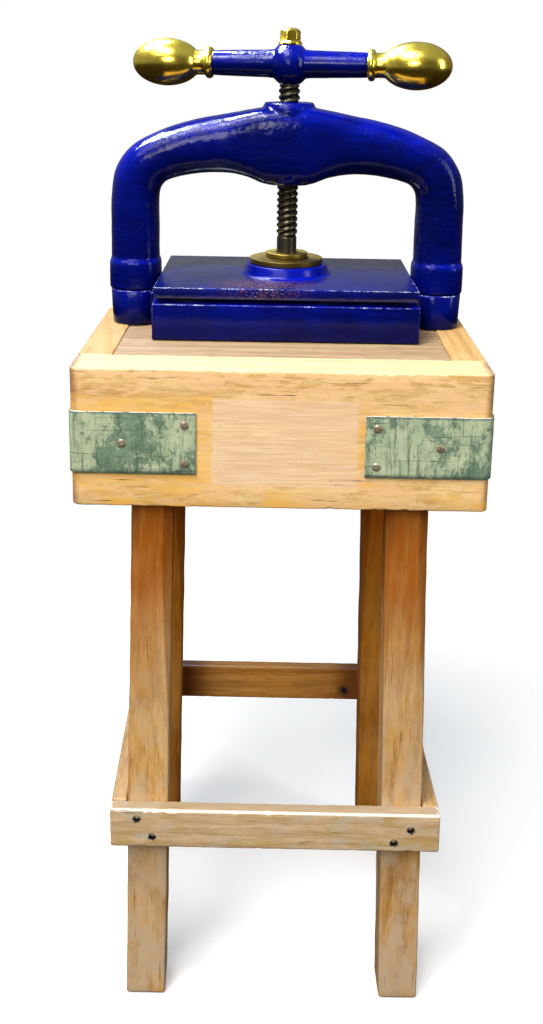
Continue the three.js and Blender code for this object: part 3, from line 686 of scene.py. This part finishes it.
def rounded_box(name, lo, hi, radius, spacing):
    """A box of the casting with rounded edges, on a grid. Sizes in mm."""
    lo, hi = Vector(lo), Vector(hi)

    def lines(a, b):
        r = radius * 1.02
        inner = max(2, round((b - a - 2 * r) / spacing))
        return ([a + r * part for part in (0, 0.08, 0.3, 0.62)] +
                [a + r + (b - a - 2 * r) * i / inner for i in range(inner + 1)] +
                [b - r * part for part in (0.62, 0.3, 0.08, 0)])
    grid = [lines(lo[i], hi[i]) for i in range(3)]
    verts = []

    def surface(p):
        """The grid's point p pulled in to the rounded surface."""
        inner = Vector([min(max(c, a + radius), b - radius) for c, a, b in zip(p, lo, hi)])
        out = Vector(p) - inner
        return inner + out.normalized() * radius if out.length > 1e-9 else Vector(p)
    for axis in range(3):
        u, v = [i for i in range(3) if i != axis]
        for end in (lo[axis], hi[axis]):
            for i in range(len(grid[u]) - 1):
                for j in range(len(grid[v]) - 1):
                    for di, dj in ((0, 0), (1, 0), (1, 1), (0, 1)):
                        p = [end] * 3
                        p[u], p[v] = grid[u][i + di], grid[v][j + dj]
                        verts.append(surface(p))
    return make(name, verts, [range(k, k + 4) for k in range(0, len(verts), 4)], PRESS)


def timber(name, lo, hi, corners, edge, seed, ragged=1.0, step=6.0):
    """A sawn board standing on its outline: corners holds the radii at (-,-) (+,-) (+,+) (-,+), and its
    top and bottom edges are worn by about edge, unevenly. Sizes in mm."""
    (x0, y0, z0), (x1, y1, z1) = lo, hi
    arc_steps = 6
    # each point: its corner and that corner's inward signs, or None along a side, then position and normal
    outline = []
    middles = [(x0, y0, 1, 1, 180), (x1, y0, -1, 1, 270), (x1, y1, -1, -1, 0), (x0, y1, 1, -1, 90)]
    for (cx, cy, sx, sy, start), r in zip(middles, corners):
        for k in range(arc_steps + 1):
            a = math.radians(start + 90 * k / arc_steps)
            nx, ny = math.cos(a), math.sin(a)
            outline.append(((cx, cy, sx, sy, r), cx + sx * r + r * nx, cy + sy * r + r * ny, nx, ny))
    points = []
    for i, point in enumerate(outline):
        points.append(point)
        if i % (arc_steps + 1) < arc_steps:
            continue
        _, x, y, nx, ny = point
        _, bx, by, _, _ = outline[(i + 1) % len(outline)]
        count = int(math.hypot(bx - x, by - y) / step)
        points += [(None, x + (bx - x) * k / count, y + (by - y) * k / count, nx, ny)
                   for k in range(1, count)]

    def inset(point, depth):
        corner, x, y, nx, ny = point
        if corner is None:
            return x - nx * depth, y - ny * depth
        cx, cy, sx, sy, r = corner
        middle, radius = max(r, depth), max(r - depth, 0)
        return cx + sx * middle + nx * radius, cy + sy * middle + ny * radius

    def wear(point, layer):
        p = Vector((point[1] / 15, point[2] / 15, seed + 5 * layer))
        nick = max(0, noise.noise(p * 3.1) - 0.28) * 4
        return min(step * 0.9, max(0.3, edge * (1 + ragged * (0.7 * noise.noise(p) + nick))))

    def rim(layer, end, inward):
        """Five rings of a rounded edge, from the end face outwards."""
        depths = [wear(p, layer) for p in points]
        rings = []
        for degrees in (0, 22, 45, 68, 90):
            c, s = math.cos(math.radians(degrees)), math.sin(math.radians(degrees))
            rings.append([(*inset(p, e * (1 - s)), end + inward * e * (1 - c))
                          for p, e in zip(points, depths)])
        return rings

    sides = []
    for k in range(1, 8):
        z = z0 + (z1 - z0) * k / 8
        dips = [-0.25 * abs(noise.noise(Vector((p[1] / 30, p[2] / 30, z / 30 + seed)))) for p in points]
        sides.append([(p[1] + p[3] * d, p[2] + p[4] * d, z) for p, d in zip(points, dips)])
    return make(name, *loft(rim(0, z0, 1) + sides + rim(1, z1, -1)[::-1]))


def plate_box(name, lo, hi, edge):
    """A plain cast plate with a worn strip along its edges."""
    return bevel(box_mesh(name, lo, hi, PRESS), edge, 3, 35, 1)


def base():
    bed = plate_box("bed", (-172, -123, 0.3), (172, 123, 47), 1.3)
    piece(bed, "stand", "blue_paint", [BLUE, BLUE_EDGE], "base_casting")
    for side, name in ((-1, "left"), (1, "right")):
        lug = foot_stack(f"lug_{name}", side * COLUMN_X,
                         [(30, 43, 0.3), (31, 44, 2), (32, 42.5, 24), (33, 41, 46.2)])
        bevel(lug, 1.1, 2, 40, 1)
        piece(lug, "stand", "blue_paint", [BLUE, BLUE_EDGE], "base_casting")
        near, far = sorted((side * 171, side * 200))
        web = rounded_box(f"lug_web_{name}", (near, -34, 1), (far, 34, 44.5), 2.5, 12)
        piece(web, "stand", "blue_paint", BLUE, "base_casting")


def platen():
    plate = plate_box("platen_plate", (-170, -121.5, 53.8), (170, 121.5, 68.3), 1.1)
    piece(plate, "platen", "blue_paint", [BLUE_PLATEN, BLUE_EDGE], "platen")
    profile = rounded([(64, 67.6), (61.5, 68.7), (59, 71), (55, 81.2), (53.8, 82.2), (22.6, 82.2),
                       (22.6, 71.6)], [0, 4, 3, 1.5, 0.8, 0.6, 0])
    profile = [(0.001, 67.6)] + profile + [(0.001, 71.6)]
    boss = lathe("platen_boss", profile, 128)
    roughen(boss, 22, 0.3, 1.3)
    piece(boss, "platen", "blue_paint", BLUE, "platen")


def ring(name, r, low, high, hole, edge, segments=128):
    profile = rounded([(hole, low), (r, low), (r, high), (hole, high), (hole, low)],
                      [0, edge * 0.6, edge, 0.5, 0], 4)
    return make(name, *turned(profile, segments), PRESS)


def fittings():
    plate = ring("retaining_disc", 49.5, 82.5, 90, 14.5, 1.3)
    piece(plate, "platen", "bronze", BRONZE, "retaining_plate")
    collar = ring("retaining_collar", 28.8, 90.3, 97.4, 14.5, 1.8)
    place = PRESS @ Matrix.Translation((23.5 * MM, -12.5 * MM, 0))
    subtract(collar, lathe("notch", [(2.6, 90), (2.6, 100.4)], 24, place))
    piece(collar, "platen", "brass", DULL_BRASS, "retaining_ring")
    pin = lathe("collar_pin", rounded([(2.3, 90.4), (2.3, 96.4), (0.001, 97)], [0, 0.8, 0]), 24, place)
    piece(pin, "platen", "screw_steel", DARK_STEEL)


def screw_thread(low, high, crest, root, pitch, starts, around=64, per=10):
    """A right-hand thread whose rows of points follow the helix."""
    form = [math.cos(2 * math.pi * k / per) for k in range(per)]
    form = [root + (crest - root) * min(1, max(0, 0.5 + 0.95 * f)) for f in form]
    lead = pitch * starts
    rows = int((high - low) / pitch * per) + per * starts
    step = pitch / per
    verts, faces = [], []
    for j in range(rows + 1):
        for i in range(around):
            a = 2 * math.pi * i / around
            z = low - lead + j * step + lead * i / around
            r = form[j % per]
            fade = min(1, max(0, (z - low) / 5), max(0, (high - z) / 3))
            z = min(max(z, low), high)
            r = root + (r - root) * fade
            verts.append((r * math.cos(a), r * math.sin(a), z))
    for j in range(rows):
        for i in range(around):
            if i < around - 1:
                faces.append((j * around + i, j * around + i + 1, (j + 1) * around + i + 1,
                              (j + 1) * around + i))
            elif j + per * starts + 1 <= rows:
                k = j + per * starts
                faces.append((j * around + i, k * around, (k + 1) * around, (j + 1) * around + i))
    return verts, faces


def spindle():
    """The threaded length, the end flange that turns in the platen, and the stud under the handle."""
    lower = rounded([(0.001, 71.8), (22, 71.8), (22, 82.2), (13.4, 82.2), (13.4, 117.4), (12.2, 119),
                     (0.001, 119.2)], [0, 1, 1, 0.6, 1.2, 0.8, 0])
    upper = rounded([(0.001, 317), (12.2, 317.5), (13.3, 319), (13.3, 321.2), (9.5, 321.2), (9.5, 370.6),
                     (7, 370.6), (7, 386), (0.001, 386)], [0, 0.5, 0.8, 0.5, 0.3, 0.5, 0.3, 0.8, 0])
    for obj in (make("screw_thread", *screw_thread(117, 321.2, 14.2, 12.0, 8.5, 2), PRESS),
                lathe("screw_end", lower), lathe("screw_top", upper, 64)):
        piece(obj, "spindle", "screw_thread", STEEL, "spindle")


HANDLE_Z = 347.3
TURN = math.radians(-8)


def along_handle(side):
    return (PRESS @ Matrix.Rotation(TURN, 4, "Z") @ Matrix.Translation((0, 0, HANDLE_Z * MM))
            @ Matrix.Rotation(side * math.pi / 2, 4, "Y"))


def handle():
    mid = (321.6 + 371.6) / 2
    hub = rounded([(0.001, 321.6), (14, 321.6), (19.5, 326.6), (24.4, mid - 13), (26.7, mid - 4),
                   (26.7, mid + 4), (24.4, mid + 13), (20, 366.6), (15.6, 371.6), (0.001, 371.6)],
                  [0, 1, 3, 4, 4, 4, 4, 3, 1, 0])
    parts = [lathe("hub", hub)]
    for side in (-1, 1):
        arm = [(0.001, 0), (18.8, 0), (18.8, 20), (18, 30), (16.2, 102.8), (0.001, 102.8)]
        parts.append(lathe("arm", arm, 72, along_handle(side)))
    bore = lathe("bore", [(9.8, 315), (9.8, 380)], 48)
    obj = fuse("handle_casting", parts, 1.0, 6, bore)
    roughen(obj, 13, 0.22, 7.7)
    piece(obj, "spindle", "blue_paint", BLUE, "handle_bar")


def knob(side, name):
    start, bead_end, neck, egg0, egg1, egg_r = 103.3, 112.5, 16.4, 127, 212.4, 31
    profile = [(0.001, start), (neck + 1.2, start)]
    for k in range(13):
        a = math.pi * (-0.5 + k / 12)
        profile.append((neck + 0.4 + 3.8 * max(0, math.cos(a)) ** 0.7,
                        (start + bead_end) / 2 + 4.3 * math.sin(a)))
    profile += [(neck, bead_end + 0.6), (neck - 0.3, bead_end + 4), (neck - 0.3, egg0 - 2.5),
                (neck + 0.4, egg0 - 0.8)]
    first = math.pi - math.asin((neck + 0.4) / egg_r)
    half = (egg1 - egg0 + 0.4) / (1 - math.cos(first))
    middle = egg1 - half
    for k in range(49):
        a = first * (1 - k / 48)
        profile.append((max(0.001, egg_r * math.sin(a)), middle + half * math.cos(a)))
    obj = lathe(f"knob_{name}_brass", profile, 128, along_handle(side))
    roughen(obj, 18, 0.12, side * 2.0)
    piece(obj, "spindle", "brass", BRASS, f"knob_{name}")


def nut():
    base = 371.9
    flange = rounded([(7.4, base), (15.6, base), (15.8, base + 2.6), (14.6, base + 3.4), (13.6, base + 5.4),
                      (7.4, base + 5.4), (7.4, base)], [0, 0.8, 0.8, 0.5, 0.4, 0, 0])
    piece(lathe("nut_washer", flange), "spindle", "brass", BRASS, "cap_washer")
    low, top, corner, sides = 377.5, 390.4, 13.7, 72
    rings = []
    for t in (0, 0.04, 0.5, 0.82, 0.9, 0.96, 1):
        limit = corner * 1.01 - max(0, t - 0.82) * 11 - (0.4 if t == 0 else 0)
        points = []
        for x, y, z in circle(1, low + (top - low) * t, sides):
            off = (math.atan2(y, x) % (math.pi / 3)) - math.pi / 6
            r = min(corner * math.cos(math.pi / 6) / math.cos(off), limit)
            points.append((r * x, r * y, z))
        rings.append(points)
    rings += [circle(r, z, sides) for r, z in ((10.6, 391.4), (9.0, 392.6), (6, 393.2), (2.5, 393.4))]
    obj = make("nut_head", *loft(rings), PRESS @ Matrix.Rotation(math.radians(7), 4, "Z"))
    bevel(obj, 0.5, 2, 28)
    piece(obj, "spindle", "brass", BRASS, "cap_nut")


# ---- stand, in millimetres
LEG_WIDTH, LEG_OUT_X, LEG_SPLAY, LEG_SKEW = 51.6, 181.8, 13.7, 8
FRONT_LEG_Y, BACK_LEG_Y = FRONT_Y * 1000 + 14, FRONT_Y * 1000 + 348
STRAP, STRAP_REACH, STRAP_BEND = 2.0, 152.0, 9.0  # thickness, arm's length and the corner's radius
SCREW_SEAT = 2.6 * MM  # how far out of the block the strap screws' heads sit, in metres


def corners(kind):
    """The signs of X and Y at each corner, and the CAD node there."""
    for sy, depth in ((-1, "front"), (1, "rear")):
        for sx, side in ((-1, "left"), (1, "right")):
            yield sx, sy, f"{kind}_{depth}_{side}"


def node_box(name):
    """A CAD node's box in millimetres."""
    lo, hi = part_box(name)
    return [c * 1000 for c in lo], [c * 1000 for c in hi]


def board_piece(node, material, corners, edge, seed, slot="pine"):
    lo, hi = node_box(node)
    return piece(timber(f"{node}_timber", lo, hi, corners, edge, seed), "stand", slot, material, node)


def block():
    joint, corner = 0.8, 9.0  # radii at the joints and at the block's own corners
    board_piece("block_front_board", FRONT_PINE, [corner, corner, joint, joint], 2.3, 1.0)
    board_piece("block_rear_board", REAR_PINE, [joint, joint, corner, corner], 2.6, 2.0)
    board_piece("block_side_board_left", SIDE_PINE, [joint] * 4, 1.6, 3.0)
    board_piece("block_side_board_right", SIDE_PINE, [joint] * 4, 1.6, 4.0)
    for i, place in enumerate(("front", "middle", "rear")):
        board_piece(f"block_core_{place}", CORE_PINE[i], [joint] * 4, 1.2, 5.0 + i, "pine_core")


def rack():
    """The leg frame's skew, which puts the rear legs LEG_SKEW left of the front ones. Works in metres."""
    skew = Matrix.Identity(4)
    skew[0][1] = -LEG_SKEW / (BACK_LEG_Y - FRONT_LEG_Y - LEG_WIDTH)
    skew[0][3] = -skew[0][1] * (FRONT_LEG_Y + LEG_WIDTH / 2) * MM
    return skew


def leg_section(corner_x, corner_y, sx, sy, shrink, chamfer, z):
    """One level of a leg: a square with chamfered corners, its outer corner at corner_x, corner_y."""
    x1, x0 = corner_x - sx * shrink, corner_x - sx * (LEG_WIDTH - shrink)
    y1, y0 = corner_y - sy * shrink, corner_y - sy * (LEG_WIDTH - shrink)
    dx, dy = sx * chamfer, sy * chamfer
    flat = [(x0, y0 + dy), (x0 + dx, y0), (x1 - dx, y0), (x1, y0 + dy),
            (x1, y1 - dy), (x1 - dx, y1), (x0 + dx, y1), (x0, y1 - dy)]
    points = []
    for k in range(8):
        a, b = Vector(flat[k]), Vector(flat[(k + 1) % 8])
        points += [(*a.lerp(b, t), z) for t in ((0, 0.5) if k % 2 == 0 else (0, 0.04, 0.25, 0.5, 0.75, 0.96))]
    return points


def legs():
    """Splayed legs, square at the floor and chamfered towards the block."""
    top = BLOCK_LOW * 1000
    for index, (sx, sy, node) in enumerate(corners("leg")):
        out_y = FRONT_LEG_Y if sy < 0 else BACK_LEG_Y
        rings = []
        for z in [0, 1.5, 4] + [4 + (top - 4.3) * k / 60 for k in range(1, 61)]:
            lean = LEG_SPLAY * (1 - z / top)
            rise = min(1, max(0, (z - 390) / 260))
            chamfer = 1.6 + 10.6 * (rise * rise * (3 - 2 * rise)) ** 0.8
            shrink = 3 if z == 0 else (1.4 if z < 2 else 0)
            rings.append(leg_section(sx * (LEG_OUT_X + lean), out_y + sy * lean, sx, sy, shrink, chamfer, z))
        obj = move(make(f"{node}_timber", *loft(rings)), rack())
        roughen(obj, 38, 0.6, 9.0 + index)
        bevel(obj, 0.9, 2, 24)
        piece(obj, "stand", "pine_leg", LEG_PINE[index], node)


def screw_mesh():
    """A slotted screw head and shank about +Z, seated at z 0. Millimetres."""
    profile = rounded([(0.001, -13), (1.6, -11), (2.2, -9), (2.2, 0), (5.1, 0), (5.05, 0.5), (4.2, 1.35),
                       (2.2, 1.8), (0.001, 1.9)], [0, 0.3, 0.3, 0.2, 0.2, 0.3, 0.8, 0.8, 0], 3)
    head = lathe("slotted_screw", profile, 40, WORLD)
    slot = slot_cut(12, 1.15, 0.85, 3)
    return subtract(head, slot)


def slot_cut(length, width, low, high):
    return box_mesh("slot", (-length / 2, -width / 2, low), (length / 2, width / 2, high))


def facing(normal):
    return Vector((0, 0, 1)).rotation_difference(Vector(normal)).to_matrix().to_4x4()


def screws():
    master = screw_mesh()
    rng = random.Random(4)
    for node in sorted(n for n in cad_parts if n.startswith("screw_")):
        lo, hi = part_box(node)
        seat = (lo + hi) / 2
        _, depth, across, face = node.split("_")[:4]
        if face == "face":
            normal = (0, -1 if depth == "front" else 1, 0)
            seat.y = (BACK_Y if depth == "rear" else FRONT_Y) + normal[1] * SCREW_SEAT
        else:
            normal = (-1 if across == "left" else 1, 0, 0)
            seat.x = normal[0] * (HALF_W + SCREW_SEAT)
        spin = Matrix.Rotation(rng.uniform(0, math.pi), 4, "Z")
        mesh = master.data.copy()
        mesh.transform(Matrix.Translation(seat) @ facing(normal) @ spin)
        piece(link(f"{node}_head", mesh), "stand", "screw_steel", STRAP_SCREW, node)
    bpy.data.objects.remove(master)


def strap_path(sx, sy, half, edge_y):
    """Points along the strap's inner face with their outward normals: an arm, the bend, the other arm."""
    r = STRAP_BEND
    end_x = sx * (half + STRAP - STRAP_REACH)
    end_y = edge_y - sy * (STRAP_REACH - STRAP)
    turn_x, turn_y = sx * (half - r), edge_y - sy * r
    path = [(end_x + (turn_x - end_x) * k / 25, edge_y, 0, sy) for k in range(25)]
    for k in range(9):
        s, c = math.sin(math.pi / 2 * k / 8), math.cos(math.pi / 2 * k / 8)
        path.append((turn_x + sx * r * s, turn_y + sy * r * c, sx * s, sy * c))
    return path + [(sx * half, turn_y + (end_y - turn_y) * k / 25, sx, 0) for k in range(1, 26)]


def straps():
    """Thin painted bars bent round the block's corners, their holes filled by the screws."""
    half = HALF_W * 1000 + 0.3
    rows = 13
    rng = random.Random(11)
    for sx, sy, node in corners("strap"):
        lo, hi = node_box(node)
        heights = [lo[2] + (hi[2] - lo[2]) * j / (rows - 1) for j in range(rows)]
        edge_y = FRONT_Y * 1000 - 0.3 if sy < 0 else BACK_Y * 1000 + 0.3
        wave = rng.uniform(0, 9)
        rings = []
        for x, y, nx, ny in strap_path(sx, sy, half, edge_y):
            thick = [STRAP + 0.22 * noise.noise(Vector((x / 40, y / 40, j * 0.5 + wave)))
                     for j in range(rows)]
            rings.append([(x + nx * t, y + ny * t, z) for t, z in zip(thick, heights)] +
                         [(x, y, z) for z in reversed(heights)])
        obj = make(f"{node}_metal", *loft(rings))
        bevel(obj, 0.55, 2, 50, 1)
        piece(obj, "stand", "strap_paint", [SAGE, SAGE_EDGE], node)


def sunk_screw(name, place, turn):
    """A slotted head deep in its hole. place takes +Z to the hole's way out."""
    head = rounded([(0.001, -15), (3.3, -14.5), (3.3, -10.2), (0.001, -9.6)], [0, 0.5, 0.8, 0], 3)
    slot = move(slot_cut(8, 0.9, -10.9, -8), place @ Matrix.Rotation(turn, 4, "Z"))
    return subtract(lathe(name, head, 28, place), slot)


def rails():
    """Rails with sunk screws, shaped square and then skewed with the legs."""
    skew = rack()
    front_screws = [(-177, 14), (-157, 40), (153, 42), (174, 23)]  # along the rail, and down from its top
    for index, (node, (nx, ny, light, dark)) in enumerate(RAILS.items()):
        lo, hi = node_box(node)
        shift = (skew @ Vector((0, (lo[1] + hi[1]) / 2 * MM, 0))).x / MM
        lean = abs(skew[0][1]) * (hi[1] - lo[1]) / 2
        lo[0], hi[0] = lo[0] - shift + lean, hi[0] - shift - lean
        obj = timber(f"{node}_timber", lo, hi, [2.6] * 4, 3.4, 20.0 + index, 0.35)
        if ny:
            spots = [(x, lo[1] if ny < 0 else hi[1], hi[2] - drop) for x, drop in front_screws]
        else:
            spots = [(lo[0] if nx < 0 else hi[0], y, hi[2] - drop) for y, drop in
                     ((lo[1] + 23.7, 15), (lo[1] + 41.7, 40), (hi[1] - 41.7, 40), (hi[1] - 23.7, 15))]
        seen = [tuple((skew @ (Vector(spot) * MM)) + Vector((nx, ny, 0)) * -3 * MM) for spot in spots]
        knot = (0.1095, 0, 0.249) if node == "rail_rear" else None
        finish = pine(f"pine_{node}", light, dark, "x" if ny else "y", 70, 0.9,
                      rail_marks(seen, node == "rail_front", knot), shift=0.17 * index)
        for k, spot in enumerate(spots):
            place = Matrix.Translation(Vector(spot) * MM) @ facing((nx, ny, 0))
            subtract(obj, lathe("hole", [(3.6, -13), (3.9, -2.2), (5.0, 0.0), (5.4, 1.5)], 28, place))
            screw = move(sunk_screw(f"{node}_screw_{k + 1}", place, k * 1.1), skew)
            piece(screw, "stand", "screw_steel", DARK_STEEL)
        piece(move(obj, skew), "stand", "pine_leg", finish, node)


def move(obj, matrix):
    obj.data.transform(matrix)
    return obj


arch()
base()
platen()
fittings()
spindle()
handle()
knob(-1, "left")
knob(1, "right")
nut()
block()
legs()
straps()
screws()
rails()


# ---- studio
def camera():
    """A view from the front and above: a shifted lens, tilted down and turned and rolled a little."""
    p, y, r = (math.radians(a) for a in (13.9, -0.35, 0.93))
    forward = Vector((math.sin(y) * math.cos(p), math.cos(y) * math.cos(p), -math.sin(p)))
    right = Vector((math.cos(y), -math.sin(y), 0))
    up = right.cross(forward)
    right, up = right * math.cos(r) + up * math.sin(r), up * math.cos(r) - right * math.sin(r)
    data = bpy.data.cameras.new("camera")
    data.lens, data.sensor_width = 40.651172, 36
    data.shift_y = -0.16796875
    data.clip_end = 50
    obj = link("camera", data)
    obj.matrix_world = Matrix((
        (right.x, up.x, -forward.x, -0.00493),
        (right.y, up.y, -forward.y, FRONT_Y - 1.3012),
        (right.z, up.z, -forward.z, 1.23383),
        (0, 0, 0, 1)))
    bpy.context.scene.camera = obj


def aim(direction):
    return direction.to_track_quat("-Z", "Y").to_euler()


def light(name, place, target, size, power, color):
    """A rectangular lamp; place and target in metres, power in watts."""
    data = bpy.data.lights.new(name, "AREA")
    data.shape, data.size, data.size_y = "RECTANGLE", size[0], size[1]
    data.energy, data.color = power, color
    obj = link(name, data)
    obj.location = place
    obj.rotation_euler = aim(Vector(target) - Vector(place))
    return obj


def room():
    """White to the camera; to reflections a room, pale to the left, dim to the right and underneath."""
    world = bpy.data.worlds.new("studio")
    w = Nodes("studio", world)
    x, y, z = w.axes()
    walls = w.mix(w.ramp(x, 0.4, -0.5), (0.3, 0.29, 0.27), (0.6, 0.64, 0.68))
    walls = w.mix(w.ramp(y, -0.1, -0.9, 0, 0.45), walls, (0.05, 0.05, 0.05))
    below = w.mix(w.ramp(z, -0.25, 0.02), (0.06, 0.045, 0.03), walls)
    tone = w.mix(w.ramp(z, 0.25, 0.8), below, (0.66, 0.72, 0.8))
    ambient = w.tree.nodes["Background"]
    w.put(ambient.inputs["Color"], tone)
    w.put(ambient.inputs["Strength"], 0.55)
    seen = w.add("Background", {"Color": (1, 1, 1)})
    direct = w.add("LightPath").outputs["Is Camera Ray"]
    w.choose(direct, ambient.outputs[0], seen.outputs[0], "World Output")
    bpy.context.scene.world = world
    bpy.context.scene.view_settings.view_transform = "Standard"


def floor():
    """A pale round floor that fades out into the white backdrop."""
    half, height = 4000, -0.5
    obj = make("floor", [(x * half, y * half, height) for x, y in ((-1, -1), (1, -1), (1, 1), (-1, 1))],
               [(0, 1, 2, 3)])
    m = Nodes("floor")
    m.color = m.mix(m.noise(3, 3), (0.84, 0.83, 0.81), (0.87, 0.86, 0.84))
    m.finish(Roughness=0.9, Emission_Color=(1, 1, 1), Emission_Strength=0.22)
    clear = m.add("BsdfTransparent").outputs[0]
    m.choose(m.ramp(m.distance(), 0.35, 1.9), m.shader.outputs[0], clear, "Material Output")
    obj.data.materials.append(m.material)
    obj.visible_glossy = obj.visible_diffuse = False


def studio():
    room()
    floor()
    sun = bpy.data.lights.new("sun", "SUN")
    sun.energy, sun.angle = 2.2, math.radians(40)
    link("sun", sun).rotation_euler = aim(Vector((0.42, 0.7, -1.0)))
    light("overhead", (-0.55, -0.75, 2.7), (-0.05, 0.05, 1.05), (0.5, 0.35), 34, (1, 0.99, 0.97))
    light("front", (-0.5, -2.6, 1.9), (0, 0, 0.75), (0.7, 0.7), 24, (1, 0.96, 0.9))
    sheen = light("sheen", (-0.75, 0.45, 2.45), (-0.05, 0.05, 1.1), (1.0, 0.6), 350, (0.8, 0.9, 1))
    sheen.visible_diffuse = False
    light("right", (1.9, -0.9, 1.6), (0, 0, 1.0), (0.4, 1.2), 15, (0.95, 0.97, 1))


camera()
studio()

bpy.context.view_layer.update()
